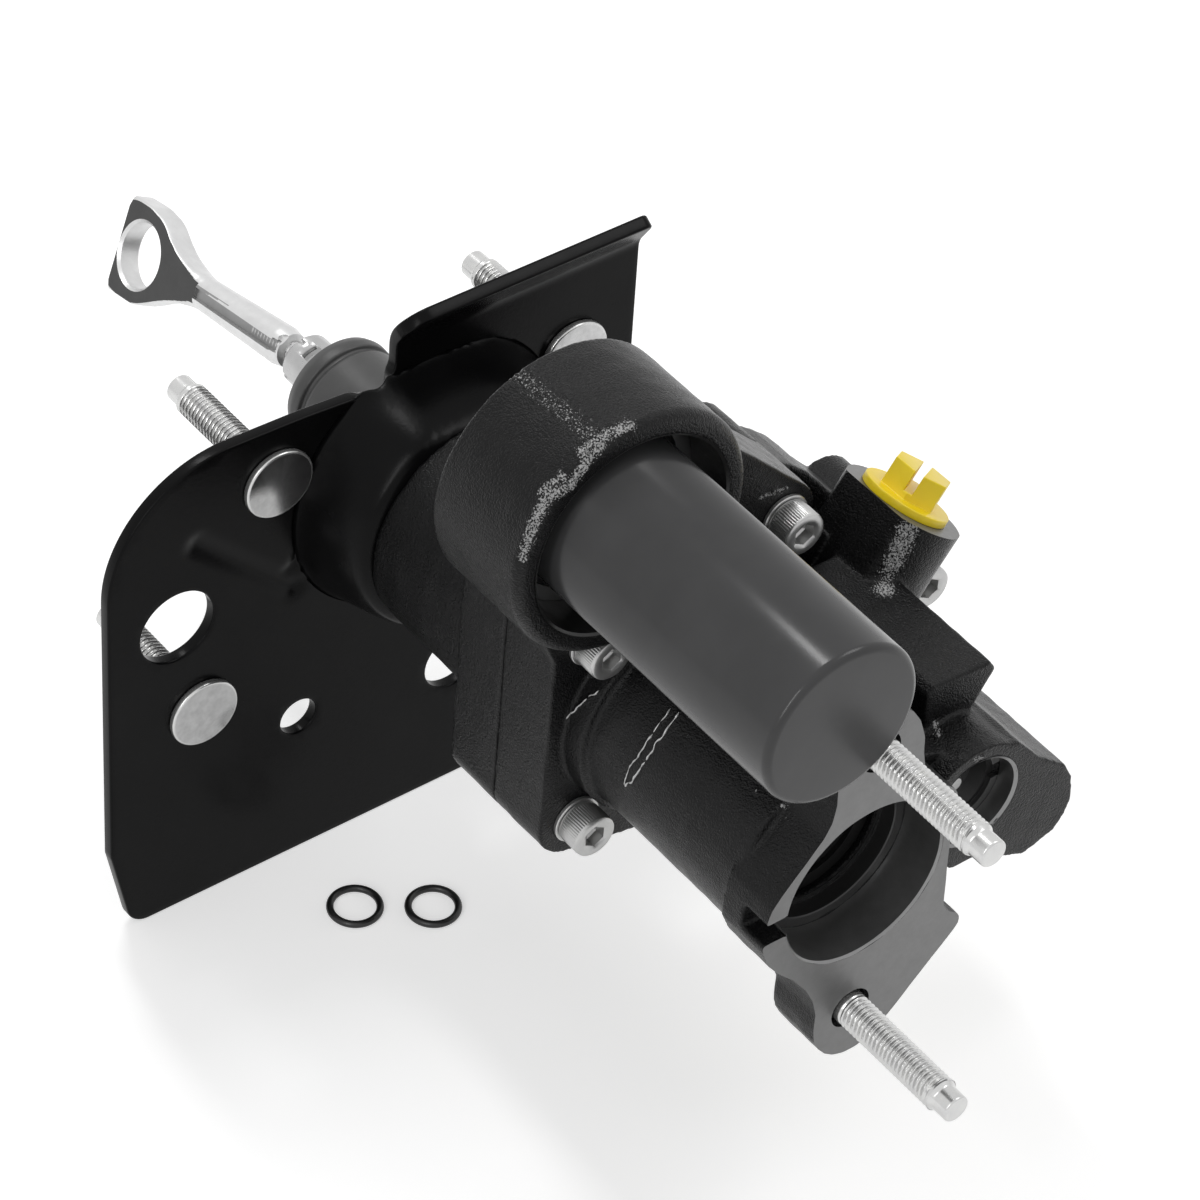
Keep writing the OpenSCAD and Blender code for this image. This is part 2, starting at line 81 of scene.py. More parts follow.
camera = placed("camera", lens)
turn = Matrix((right, top, -ahead)).transposed().to_4x4()
camera.matrix_world = Matrix.Translation(aim - ahead * DISTANCE) @ turn
bpy.context.scene.camera = camera

# Floor and light: a white floor that keeps a soft shadow, a long level strip whose streak
# runs along the can, a soft box on either side, and a world that mirrors and the camera see
# white and that lights the unit a little less.
FLOOR_GLOW = 0.46
WORLD_LIGHT, WORLD_SEEN = 0.45, 1.0
bpy.context.scene.view_settings.view_transform = "Standard"


def nodes_of(name):
    """A new material and its node tree, with the Principled shader at hand."""
    m = bpy.data.materials.new(name)
    m.use_nodes = True
    tree = m.node_tree
    return m, tree, tree.nodes["Principled BSDF"]


def maths(tree, operation, *inputs):
    """A math node; each input is a number or another node's socket."""
    n = tree.nodes.new("ShaderNodeMath")
    n.operation = operation
    for k, value in enumerate(inputs):
        if isinstance(value, (int, float)):
            n.inputs[k].default_value = value
        else:
            tree.links.new(value, n.inputs[k])
    return n.outputs[0]


def looked_at(tree):
    """1 for a ray that comes from the camera, off a mirror or through glass, else 0."""
    path = tree.nodes.new("ShaderNodeLightPath").outputs
    first = maths(tree, "MAXIMUM", path["Is Camera Ray"], path["Is Glossy Ray"])
    return maths(tree, "MAXIMUM", first, path["Is Transmission Ray"])


def floor_material():
    m, tree, bsdf = nodes_of("white_floor")
    bsdf.inputs["Base Color"].default_value = (0.86, 0.86, 0.86, 1)
    bsdf.inputs["Roughness"].default_value = 0.9
    bsdf.inputs["Specular IOR Level"].default_value = 0.1
    glow = tree.nodes.new("ShaderNodeEmission")
    both = tree.nodes.new("ShaderNodeAddShader")
    tree.links.new(maths(tree, "MULTIPLY", looked_at(tree), FLOOR_GLOW), glow.inputs["Strength"])
    tree.links.new(bsdf.outputs[0], both.inputs[0])
    tree.links.new(glow.outputs[0], both.inputs[1])
    tree.links.new(both.outputs[0], tree.nodes["Material Output"].inputs["Surface"])
    return m


floor_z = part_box("mounting_bracket")[0][2] - 0.0002
floor_mesh = bpy.data.meshes.new("floor")
floor_mesh.from_pydata([(x, y, floor_z) for x, y in ((-6, -6), (6, -6), (6, 6), (-6, 6))], [], [(0, 1, 2, 3)])
floor_mesh.materials.append(floor_material())
floor = placed("floor", floor_mesh)


def soft_box(name, place, target, size, power):
    """An area lamp of size (m) and power (W) that faces its target; with no target it faces
    straight down, its long side along x."""
    light = bpy.data.lights.new(name, "AREA")
    light.shape = "RECTANGLE"
    light.size, light.size_y = size
    light.energy = power
    turned = Matrix.Identity(4)
    if target:
        turned = (Vector(target) - Vector(place)).to_track_quat("-Z", "Y").to_matrix().to_4x4()
    placed(name, light).matrix_world = Matrix.Translation(Vector(place)) @ turned


soft_box("strip_box", (-0.80, 0.095, 1.5), None, (0.8, 0.17), 8)
soft_box("left_box", (0.75, -1.4, 1.0), (0.1, 0, 0), (0.24, 1.1), 7)
soft_box("right_box", (0.5, 1.0, 1.5), (0.1, 0, 0), (0.7, 0.7), 6)
world = bpy.data.worlds.new("white")
bpy.context.scene.world = world
world.use_nodes = True
sky = world.node_tree.nodes["Background"]
sky.inputs["Color"].default_value = (1, 1, 1, 1)
level = maths(world.node_tree, "MULTIPLY_ADD", looked_at(world.node_tree), WORLD_SEEN - WORLD_LIGHT, WORLD_LIGHT)
world.node_tree.links.new(level, sky.inputs["Strength"])


# Mounting bracket: 4 mm steel sheet, blanked, its middle drawn forward to a plateau and
# its upper right edge flared forward, under glossy black paint. The cover is clamped to it.
SHEET = 4.0
BEND_Z, BEND_A, BEND_R = 47.5, radians(33), 10.0  # the flare: where it starts, its angle and radius
FLARE = 9.0  # flat length past the bend
DOME, DOME_R, DOME_TOP, DOME_RUN = 24.0, 43.5, 39.5, 9.0  # height, radius, upper end, slope's width
CORNER_R = 7.0  # lower corners
HOLES = ((-81.7, -17.6, 11.8, 72), (-40.9, -72.6, 6, 48), (13, -78.5, 9.6, 60), (0, 0, 22.5, 90))
RIM = 0.7  # rounding of the sheet's edges


def put(name, verts, faces, material, smooth=True):
    """verts in the drawing's millimetres (x from the firewall, z from the main axis)."""
    mesh = bpy.data.meshes.new(name)
    v = np.asarray(verts, float) + (0, 0, AXIS_Z)
    mesh.from_pydata((v * MM).tolist(), [], [list(map(int, f)) for f in faces])
    mesh.update()
    mesh.materials.append(material)
    if smooth:
        mesh.shade_smooth()
    return placed(name, mesh)


def arc(cy, cz, r, a0, a1, n=10):
    """n + 1 points on a circle from angle a0 to a1, degrees."""
    a = np.radians(np.linspace(a0, a1, n + 1))
    return np.column_stack([cy + r * np.cos(a), cz + r * np.sin(a)])


def evenly(loop, step):
    """The closed loop again with points about step apart, corners kept."""
    gap = np.roll(loop, -1, axis=0) - loop
    n = np.maximum(1, np.ceil(np.linalg.norm(gap, axis=1) / step)).astype(int)
    i = np.repeat(np.arange(len(loop)), n)
    t = (np.arange(n.sum()) - np.repeat(np.cumsum(n) - n, n)) / n[i]
    return loop[i] + gap[i] * t[:, None]


def smoothstep(t):
    t = np.clip(t, 0, 1)
    return t * t * (3 - 2 * t)


def bead(y, s, y0, s0, y1, s1, half, deep):
    """A pressed channel round the line from (y0, s0) to (y1, s1): -deep * smoothstep(1 - d / half)
    of the distance d."""
    dy, ds = y1 - y0, s1 - s0
    t = np.clip(((y - y0) * dy + (s - s0) * ds) / (dy * dy + ds * ds), 0, 1)
    d = np.hypot(y - y0 - t * dy, s - s0 - t * ds)
    return -deep * smoothstep(1 - d / half)


def sheet_mid(y, s):
    """Middle surface over the flat blank (y, s): x is a smooth step in the distance from the
    axis, which runs out below the upper edge, plus two pressed channels; past the bend line s
    is wound over a cylinder."""
    r = np.hypot(y, s)
    x = SHEET / 2 + DOME * smoothstep((DOME_R - r) / DOME_RUN) * smoothstep((DOME_TOP - s) / DOME_RUN)
    x = x + bead(y, s, -75, 9, -44, -22, 6.0, 1.3)
    x = x + bead(y, s, -44, -14, -20, 17, 4.0, 0.8) * (r > DOME_R)
    past = np.clip(s - BEND_Z, 0, None) * (y > -20)
    a = np.clip(past / BEND_R, 0, BEND_A)
    flat = np.clip(past - BEND_R * BEND_A, 0, None)
    x = x + BEND_R * (1 - np.cos(a)) + flat * sin(BEND_A)
    z = np.where(past > 0, BEND_Z + BEND_R * np.sin(a) + flat * cos(BEND_A), s)
    return np.stack([x, y, z], -1)


def sheet_normal(y, s, e=0.02):
    """Unit normal of the middle surface, from differences over 2 e."""
    a = sheet_mid(y + e, s) - sheet_mid(y - e, s)
    b = sheet_mid(y, s + e) - sheet_mid(y, s - e)
    n = np.cross(a, b)
    return n / np.linalg.norm(n, axis=-1, keepdims=True)


def blank_loops():
    """Outer edge and holes of the flat blank, as loops of (y, s)."""
    tip = BEND_Z + BEND_R * BEND_A + FLARE
    edge = np.vstack([
        arc(-65, -0.3, 39, 90, 180, 40), [[-103.9, -94]],
        arc(-91.6, -117.4, CORNER_R, 194, 270), arc(84.6, -117.4, CORNER_R, 270, 346),
        [[96.9, -94], [96.9, -36], [71.5, -8]], arc(68.5, tip - 3, 3, 0, 90, 8),
        arc(-3.0, tip - 8, 8, 90, 180, 14), arc(-18, 43.4, 7, 360, 270, 12), [[-40, 38.0]]])
    return [evenly(edge, 1.5)] + [arc(y, s, r, 0, 360, n)[:-1] for y, s, r, n in HOLES]


def turns_left(loop):
    y, s = loop.T
    return np.sum(y * np.roll(s, -1) - np.roll(y, -1) * s) > 0


def inside(p, loop):
    """Even-odd test of points p against a closed loop."""
    a, b = loop, np.roll(loop, -1, 0)
    y, s = p[:, :1], p[:, 1:]
    across = (b[:, 0] - a[:, 0]) * (s - a[:, 1]) / (b[:, 1] - a[:, 1] + 1e-12) + a[:, 0]
    return (((a[:, 1] > s) != (b[:, 1] > s)) & (y < across)).sum(1) % 2 == 1


def on_blank(p, loops):
    """Points inside the outer loop and outside the holes."""
    keep = inside(p, loops[0])
    for hole in loops[1:]:
        keep &= ~inside(p, hole)
    return keep


def lattice(y0, y1, s0, s1, step, shift):
    """Points step apart over a rectangle of the blank, shifted off the round numbers."""
    return np.stack(np.meshgrid(np.arange(y0, y1, step[0]), np.arange(s0, s1, step[1])), -1).reshape(-1, 2) + shift


def bracket_mesh(name, material):
    """Triangles over the blank between its edge and holes; the two skins stand half the
    sheet off the middle surface, and a rounded strip joins them round every edge."""
    loops = []
    for k, loop in enumerate(blank_loops()):
        step = np.roll(loop, -1, 0) - np.roll(loop, 1, 0)
        out = np.column_stack([step[:, 1], -step[:, 0]])
        out /= np.linalg.norm(out, axis=1, keepdims=True)
        out *= 1 if turns_left(loop) == (k == 0) else -1
        loops.append((loop, out))
    flat = [loop - out * RIM for loop, out in loops]
    edges, start = [], 0
    for f in flat:
        edges += [(start + i, start + (i + 1) % len(f)) for i in range(len(f))]
        start += len(f)
    coarse = lattice(-102, 96, -122, 62, (3.0, 3.0), 0)
    coarse = coarse + (np.arange(len(coarse)) % 2)[:, None] * 0.3
    fine = lattice(-86, -12, -34, 26, (1.0, 1.0), 0.13)
    flare = lattice(-18, 71, 45, 62, (1.6, 0.8), 0.07)
    rings = np.vstack([arc(0, 0, r, 0, 360, 144)[:-1] for r in np.arange(26, 46.5, 0.75)])
    y, s = coarse.T
    beads = (y > -88) & (y < -11) & (s > -36) & (s < 27)
    coarse = coarse[(np.hypot(y, s) > 48) & ~beads & (s < 45)]
    fine = fine[np.hypot(*fine.T) > 46.8]
    inner = np.vstack([coarse, fine, flare, rings])
    keep = on_blank(inner, flat)
    for f in flat:
        keep &= np.min(np.linalg.norm(inner[:, None] - f[None], axis=2), axis=1) > 0.6
    points = np.vstack(flat + [inner[keep]])
    pts, _, tri, *_ = delaunay_2d_cdt([Vector(p) for p in points], edges, [], 1, 1e-5, False)
    pts = np.array([(p[0], p[1]) for p in pts])
    tri = np.array([t for t in tri])
    tri = tri[on_blank(pts[tri].mean(1), flat)]
    n = len(pts)
    base, nor = sheet_mid(*pts.T), sheet_normal(*pts.T)
    verts = [base + nor * SHEET / 2, base - nor * SHEET / 2]
    a, b, c = pts[tri[:, 0]], pts[tri[:, 1]], pts[tri[:, 2]]
    tri = np.where((np.cross(b - a, c - a) > 0)[:, None], tri, tri[:, ::-1])
    faces = tri.tolist() + (n + tri[:, ::-1]).tolist()
    at, start = 2 * n, 0
    q = np.radians([22.5, 45, 67.5, 90])
    out_by = RIM * np.sin(np.concatenate([q, q[::-1]]))
    up_by = SHEET / 2 - RIM * (1 - np.cos(q))
    up_by = np.concatenate([up_by, -up_by[::-1]])
    for k, (loop, out) in enumerate(loops):
        m = len(loop)
        w = (flat[k] + out * out_by[:, None, None]).reshape(-1, 2)
        foot = np.tile(flat[k], (len(out_by), 1))
        verts.append(sheet_mid(*w.T) + sheet_normal(*foot.T) * np.repeat(up_by, m)[:, None])
        between = at + np.arange(m * len(out_by)).reshape(-1, m)
        rows = np.vstack([start + np.arange(m), between, n + start + np.arange(m)])
        at += m * len(out_by)
        start += m
        ahead_rows = np.roll(rows, -1, 1)
        strip = np.stack([rows[:-1], rows[1:], ahead_rows[1:], ahead_rows[:-1]], -1).reshape(-1, 4)
        faces += (strip if turns_left(loop) == (k == 0) else strip[:, ::-1]).tolist()
    return put(name, np.vstack(verts), faces, material)


def bump_on(tree, bsdf, height, strength, distance):
    b = tree.nodes.new("ShaderNodeBump")
    b.inputs["Strength"].default_value = strength
    b.inputs["Distance"].default_value = distance
    tree.links.new(height, b.inputs["Height"])
    tree.links.new(b.outputs[0], bsdf.inputs["Normal"])


def grain(tree, scale, detail=3, rough=0.5):
    """Noise on object coordinates; scale in features per metre."""
    tc = tree.nodes.new("ShaderNodeTexCoord")
    n = tree.nodes.new("ShaderNodeTexNoise")
    n.inputs["Scale"].default_value = scale
    n.inputs["Detail"].default_value = detail
    n.inputs["Roughness"].default_value = rough
    tree.links.new(tc.outputs["Object"], n.inputs["Vector"])
    return n.outputs["Fac"]


def toned(tree, fac, dark, light):
    """Dark to light as fac goes from 0.3 to 0.7."""
    r = tree.nodes.new("ShaderNodeValToRGB")
    first, last = r.color_ramp.elements
    first.position, first.color = 0.3, (*dark, 1)
    last.position, last.color = 0.7, (*light, 1)
    tree.links.new(fac, r.inputs[0])
    return r.outputs[0]


def spread(tree, fac, lo, hi, fac_lo=0.0, fac_hi=1.0):
    """fac from fac_lo to fac_hi mapped to lo to hi, held at both ends."""
    m = tree.nodes.new("ShaderNodeMapRange")
    m.inputs["From Min"].default_value = fac_lo
    m.inputs["From Max"].default_value = fac_hi
    m.inputs["To Min"].default_value = lo
    m.inputs["To Max"].default_value = hi
    tree.links.new(fac, m.inputs["Value"])
    return m.outputs[0]


def coat(name, tones, tone_noise, rough, rough_noise, bump, metal=0.0, specular=0.5):
    """A material whose colour, roughness and height each follow their own noise: dark and light
    tone, low and high roughness, and bump as (noise, strength, distance in m)."""
    m, tree, bsdf = nodes_of(name)
    tree.links.new(toned(tree, grain(tree, *tone_noise), *tones), bsdf.inputs["Base Color"])
    tree.links.new(spread(tree, grain(tree, *rough_noise), *rough), bsdf.inputs["Roughness"])
    bsdf.inputs["Metallic"].default_value = metal
    bsdf.inputs["Specular IOR Level"].default_value = specular
    bump_on(tree, bsdf, grain(tree, *bump[0]), *bump[1:])
    return m


def grey(level):
    return (level, level, level)


bracket_paint = coat("bracket_gloss_black", ((0.0026, 0.0026, 0.0028), (0.0042, 0.0042, 0.0044)), (60, 2),
                     (0.20, 0.30), (140, 3), ((900, 4, 0.6), 0.10, 0.0003), specular=0.08)
bracket = bracket_mesh("bracket_pressing", bracket_paint)
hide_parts("mounting_bracket")
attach(bracket, "booster")

# Firewall studs and master cylinder studs: rolled M10 threads, bright zinc, pressed into
# plate and flange, each with a dog point. The firewall ones keep a low round head in front.
STUD, DOG, PITCH = 4.93, 4.05, 1.5  # radii of crest and dog point, thread pitch
FIREWALL_STUDS = ((-49.85, 19.85), (49.85, 19.85), (-73.9, -52.3), (73.9, -52.3))
FLANGE_STUDS = (46.3, -46.3)
HEAD_R, HEAD = 10.8, 2.1


def tube_faces(rows, n):
    """Quads between rows of n points each, closed all round."""
    i = np.arange(rows - 1)[:, None] * n
    j = np.arange(n)[None]
    k = (j + 1) % n
    return np.stack([i + j, i + k, i + n + k, i + n + j], -1).reshape(-1, 4)


def lathe(profile, n=96):
    """Rings of n points round X; profile is rows of (x, r). Ends at r = 0 close to a point."""
    x, r = (np.repeat(c, n) for c in np.asarray(profile, float).T)
    t = np.tile(np.arange(n) * 2 * pi / n, len(profile))
    return np.column_stack([x, r * np.cos(t), r * np.sin(t)]), tube_faces(len(profile), n)


def tidy(obj, merge=1e-6, sharp=None):
    """Merges coincident points, turns faces outwards and marks edges over the sharp angle."""
    bm = bmesh.new()
    bm.from_mesh(obj.data)
    bmesh.ops.remove_doubles(bm, verts=bm.verts, dist=merge)
    bmesh.ops.dissolve_degenerate(bm, dist=1e-7, edges=bm.edges)
    bmesh.ops.recalc_face_normals(bm, faces=bm.faces)
    if sharp:
        for e in bm.edges:
            if len(e.link_faces) == 2 and e.calc_face_angle(0) > radians(sharp):
                e.smooth = False
    bm.to_mesh(obj.data)
    bm.free()
    return obj


def rounded(points, r=0.3, n=3):
    """The profile (x, r) again with every inner corner cut by a small arc."""
    p = np.asarray(points, float)
    out = [p[0]]
    for a, b, c in zip(p, p[1:], p[2:]):
        u, w = a - b, c - b
        lu, lw = np.linalg.norm(u), np.linalg.norm(w)
        k = min(r, lu * 0.45, lw * 0.45)
        u, w = u / lu * k, w / lw * k
        for t in np.linspace(0, 1, n + 1):
            out.append(b + u * (1 - t) ** 2 + w * t * t)
    out.append(p[-1])
    return np.array(out)


def thread(x0, x1, crest, n=40, deep=0.92, fade=2.2):
    """A rolled screw thread: the radius is a rounded triangle wave of x less the turn's share of
    the pitch, and the groove fades out at both ends. There are nine rows of points a pitch."""
    m = int((x1 - x0) / PITCH * 9) + 1
    x = np.linspace(x0, x1, m)
    a = np.arange(n) * 2 * pi / n
    X, A = np.meshgrid(x, a, indexing="ij")
    w = ((X / PITCH - A / (2 * pi)) % 1.0) * 2 - 1
    wave = np.clip(np.abs(w) * 1.35 - 0.175, 0, 1)
    end = smoothstep((X - x0) / fade) * smoothstep((x1 - X) / fade)
    R = crest - deep * wave * end
    v = np.column_stack([X.ravel(), (R * np.cos(A)).ravel(), (R * np.sin(A)).ravel()])
    return v, tube_faces(m, n)


def join(parts):
    """Several (verts, faces) as one."""
    start = np.cumsum([0] + [len(v) for v, f in parts])
    return np.vstack([v for v, f in parts]), np.vstack([f + k for (v, f), k in zip(parts, start)])


def zinc_material(name, tint, rough):
    return coat(name, (grey(tint * 0.9), (tint, tint, tint * 0.985)), (300, 3), (rough - 0.05, rough + 0.07), (900, 3),
                ((2500, 4, 0.6), 0.05, 0.0001), metal=0.8)


zinc = zinc_material("bright_zinc", 0.52, 0.30)
thread_zinc = zinc_material("thread_zinc", 0.66, 0.22)
head_face = coat("turned_head_face", (grey(0.42), grey(0.52)), (400, 3), (0.12, 0.20), (900, 3),
                 ((1800, 4, 0.6), 0.08, 0.0001), metal=1.0)  # smooth enough to mirror the casting beside it


def shifted(part, y, z):
    v, f = part
    return v + (0, y, z), f


def firewall_stud(y, z):
    x = SHEET
    head = rounded([(x, 0), (x, HEAD_R), (x + HEAD, HEAD_R), (x + HEAD, 0)], 0.7, 4)
    shank = rounded([(x - 0.2, 0), (x - 0.2, STUD), (-0.6, STUD), (-0.8, STUD)], 0.1)
    dog = rounded([(-37.1, STUD - 0.05), (-38.3, DOG), (-43.1, DOG), (-43.5, DOG - 0.35), (-43.5, 0)])
    return [shifted(p, y, z) for p in (lathe(head, 64), lathe(shank, 64), lathe(dog, 64), thread(-37.2, -0.7, STUD))]


def finish_faces(mesh, on, index):
    """Gives the faces that the mask picks a material index."""
    held = np.empty(len(mesh.polygons), np.int32)
    mesh.polygons.foreach_get("material_index", held)
    held[on] = index
    mesh.polygons.foreach_set("material_index", held)


studs = join([p for y, z in FIREWALL_STUDS for p in firewall_stud(y, z)])
firewall_studs = tidy(put("firewall_stud_set", *studs, thread_zinc), sharp=50)
firewall_studs.data.materials.append(head_face)
way, centre = (np.empty(len(firewall_studs.data.polygons) * 3) for _ in range(2))
firewall_studs.data.polygons.foreach_get("normal", way)
firewall_studs.data.polygons.foreach_get("center", centre)
finish_faces(firewall_studs.data, (way[::3] > 0.99) & (centre[::3] > 0.006), 1)
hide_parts("firewall_studs")
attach(firewall_studs, "booster")


def flange_stud(z):
    tip = FACE_X + 43.5
    foot = rounded([(FACE_X - 14, 0), (FACE_X - 14, STUD), (FACE_X + 0.6, STUD)])
    dog = rounded([(tip - 6.4, STUD - 0.05), (tip - 5.2, DOG), (tip - 0.4, DOG), (tip, DOG - 0.35), (tip, 0)])
    return [shifted(p, 0, z) for p in (lathe(foot, 64), lathe(dog, 64), thread(FACE_X + 0.5, tip - 6.3, STUD))]


studs = join([p for z in FLANGE_STUDS for p in flange_stud(z)])
front_studs = tidy(put("flange_stud_pair", *studs, thread_zinc), sharp=50)
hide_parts("master_cylinder_studs")
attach(front_studs, "booster")


# Cover and housing: two sand castings under rough black paint. A remesh of the drawn solid
# gives the cast fillets; front face and boss top are then cut flat again, the bores get
# turned skins, and fins and rough patches lie where the photograph has them. On the rough
# patches the paint carries painted glints: light grey specks that stand in for highlights.
def cast_paint():
    """Black paint over sand grain; painted glints, light grey specks that stand in for highlights,
    show where the glint attribute is above the noise."""
    m, tree, bsdf = nodes_of("cast_black_paint")
    tone = toned(tree, grain(tree, 90, 3), (0.0036, 0.0036, 0.0038), (0.0062, 0.0062, 0.0065))
    painted_glint = tree.nodes.new("ShaderNodeAttribute")
    painted_glint.attribute_name = "painted_glint"
    noise = spread(tree, grain(tree, 1900, 3, 0.6), -3.0, 1.2)
    # painted glint: where the glint mask beats the noise the base colour turns light grey, specks that stand in for
    # highlights on the paint
    glint_speck = maths(tree, "MULTIPLY_ADD", painted_glint.outputs["Fac"], 1.1, noise)
    glint_mix = tree.nodes.new("ShaderNodeMix")
    glint_mix.data_type = "RGBA"
    glint_mix.inputs[7].default_value = (*grey(0.42), 1)
    tree.links.new(spread(tree, glint_speck, 0, 1, 0.1, 0.35), glint_mix.inputs[0])
    tree.links.new(tone, glint_mix.inputs[6])
    tree.links.new(glint_mix.outputs[2], bsdf.inputs["Base Color"])
    tree.links.new(spread(tree, grain(tree, 500, 4), 0.22, 0.36), bsdf.inputs["Roughness"])
    bsdf.inputs["Specular IOR Level"].default_value = 0.17
    tc = tree.nodes.new("ShaderNodeTexCoord")
    pebble = tree.nodes.new("ShaderNodeTexVoronoi")
    pebble.feature = "SMOOTH_F1"
    pebble.inputs["Scale"].default_value = 2100
    pebble.inputs["Smoothness"].default_value = 0.7
    tree.links.new(tc.outputs["Object"], pebble.inputs["Vector"])
    height = maths(tree, "MULTIPLY_ADD", pebble.outputs["Distance"], -0.7, grain(tree, 1100, 4, 0.6))
    bump_on(tree, bsdf, height, 0.55, 0.0005)
    return m


def machined_material(name, tint, rough, metal):
    return coat(name, (grey(tint * 0.9), grey(tint)), (240, 4, 0.6), (rough - 0.06, rough + 0.08), (700, 3),
                ((1800, 3), 0.1, 0.0002), metal=metal)


black = cast_paint()
machined = machined_material("machined_satin", 0.19, 0.44, 0.8)
bored = machined_material("bored_smooth", 0.25, 0.36, 0.9)
# painted shade: a near-black skin for the counterbore, the pilot's step and the cup bore, where the bores lie in shade
deep_bore_shade = machined_material("bored_deep_painted_shade", 0.03, 0.30, 0.2)
raw_fin = machined_material("raw_fin", 0.5, 0.35, 0.6)
PLAIN, BRIGHT_BORE, DARK_BORE, FIN = 1, 2, 3, 4  # the housing's material slots past its paint
MAIN_R, COUNTER_R, PILOT_R, SPOOL_R, CUP_BORE_R = 19.0, 22.0, 25.3, 13.8, 29.8
CUP = (-27.0, 80.0)  # accumulator cup's axis: y and z from the main axis
CUP_FRONT, CUP_R = 127.3, 36.5
CUP_FLOOR = 112.3
SPOOL = (45.6, -4.3)
SPOOL_FRONT = 187.3
BOSS_FOOT = np.array([117.4, *SPOOL])
BOSS_WAY = np.array([0, sin(radians(36)), cos(radians(36))])
BOSS_LEN = 48.7
# bores widened before the remesh, to leave room for their skins: axis, radius, x from and to, by
BORES = (((0, 0), MAIN_R, 100, 172, 0.4), ((0, 0), PILOT_R, 182, 199, 0.6), ((0, 0), COUNTER_R, 177, 183, 0.5),
         (SPOOL, SPOOL_R, 180.8, 188, 0.5), (CUP, CUP_BORE_R, 104, 128, 0.4))


def ripple(p, size, seed):
    """Smooth noise of about -1 to 1: nine sine waves of about the wavelength size, in seeded
    directions, summed."""
    rng = np.random.default_rng(seed)
    k = rng.normal(size=(9, 3))
    k *= (2 * pi / size * rng.uniform(0.7, 1.4, 9) / np.linalg.norm(k, axis=1))[:, None]
    return np.sin(p @ k.T + rng.uniform(0, 2 * pi, 9)).sum(1) / 2.4


def off_line(p, line):
    """Distance from each point to a line of short straight stretches."""
    line = np.asarray(line, float)
    best = np.full(len(p), 1e9)
    for a, b in zip(line, line[1:]):
        t = np.clip((p - a) @ (b - a) / ((b - a) @ (b - a)), 0, 1)
        best = np.minimum(best, np.linalg.norm(p - a - t[:, None] * (b - a), axis=1))
    return best


def read_points(mesh):
    v = np.empty(len(mesh.vertices) * 3)
    mesh.vertices.foreach_get("co", v)
    return v.reshape(-1, 3) / MM - (0, 0, AXIS_Z)


def write_points(mesh, v):
    mesh.vertices.foreach_set("co", ((v + (0, 0, AXIS_Z)) * MM).ravel())
    mesh.update()


def copied(name, node):
    """A new object with a copy of the node's mesh."""
    return placed(name, NODE[node].data.copy())


def modifier(obj, kind, **values):
    m = obj.modifiers.new(kind.lower(), kind)
    for key, value in values.items():
        setattr(m, key, value)


def applied(obj):
    """Puts the mesh that its modifiers give in the object, and returns it."""
    mesh = bpy.data.meshes.new_from_object(obj.evaluated_get(bpy.context.evaluated_depsgraph_get()))
    obj.modifiers.clear()
    obj.data = mesh
    return mesh


def rounded_rim(v, axis, front, radius, r):
    """Pulls the corner between a round boss and its flat front onto a quarter circle of radius r."""
    dy, dz = v[:, 1] - axis[0], v[:, 2] - axis[1]
    rho = np.hypot(dy, dz)
    a, b = rho - (radius - r), v[:, 0] - (front - r)
    far = np.hypot(a, b)
    corner = (a > 0) & (b > 0) & (b < r + 0.6) & (far > r) & (rho < radius + 2)
    k = np.where(corner, r / np.maximum(far, 1e-9), 1)
    to = (radius - r + a * k) / np.maximum(rho, 1e-9)
    pulled = np.column_stack([front - r + b * k, axis[0] + dy * to, axis[1] + dz * to])
    return np.where((k < 1)[:, None], pulled, v)


def rippled_and_glint_marked(mesh, fins, rough):
    """Moves points along their normals: a ridge high * exp(-(d/wide)^2) over each fin line,
    ripples over each rough patch, and a slow wave all over. The glint attribute takes the rough
    patches' masks, each times its level: there the paint gets painted glints, light grey specks
    that stand in for highlights."""
    v = read_points(mesh)
    nor = np.empty(len(v) * 3)
    mesh.vertex_normals.foreach_get("vector", nor)
    rise = 0.05 * ripple(v, 9, 3)
    painted_glint = np.zeros(len(v))
    for line, wide, high in fins:
        d = np.exp(-(off_line(v, line) / wide) ** 2)
        rise += high * d * (0.8 + 0.2 * ripple(v, 2.2, 5))
    for line, wide, high, level in rough:
        d = smoothstep(1.15 - off_line(v, line) / wide)
        rise += high * d * ripple(v, 1.9, 8)
        # the glint mask: painted glints, light grey specks in the paint's colour that stand in for highlights
        painted_glint = np.maximum(painted_glint, d * level)
    write_points(mesh, v + nor.reshape(-1, 3) * rise[:, None])
    att = mesh.attributes.new("painted_glint", "FLOAT", "POINT")
    att.data.foreach_set("value", painted_glint.astype(np.float32))


def casting(name, node, voxel, rounds, limit, stretch=None, shape=None, fins=(), rough=()):
    """A copy of the node's mesh, merged, remeshed to voxel mm and smoothed, so that corners
    become cast radii; then shaped, given fins, ripples and the painted glint mask, and thinned
    to the limit of triangles."""
    obj = copied(name, node)
    mesh = obj.data
    bm = bmesh.new()
    bm.from_mesh(mesh)
    bmesh.ops.remove_doubles(bm, verts=bm.verts, dist=1e-6)
    bm.to_mesh(mesh)
    bm.free()
    if stretch:
        write_points(mesh, stretch(read_points(mesh)))
    modifier(obj, "REMESH", mode="VOXEL", voxel_size=voxel * MM)
    modifier(obj, "SMOOTH", factor=0.5, iterations=rounds)
    mesh = applied(obj)
    if shape:
        write_points(mesh, shape(read_points(mesh)))
    rippled_and_glint_marked(mesh, fins, rough)
    count = sum(len(p.vertices) - 2 for p in mesh.polygons)
    if count > limit:
        modifier(obj, "DECIMATE", ratio=limit / count)
        mesh = applied(obj)
    mesh.materials.clear()
    mesh.materials.append(black)
    mesh.shade_smooth()
    return obj


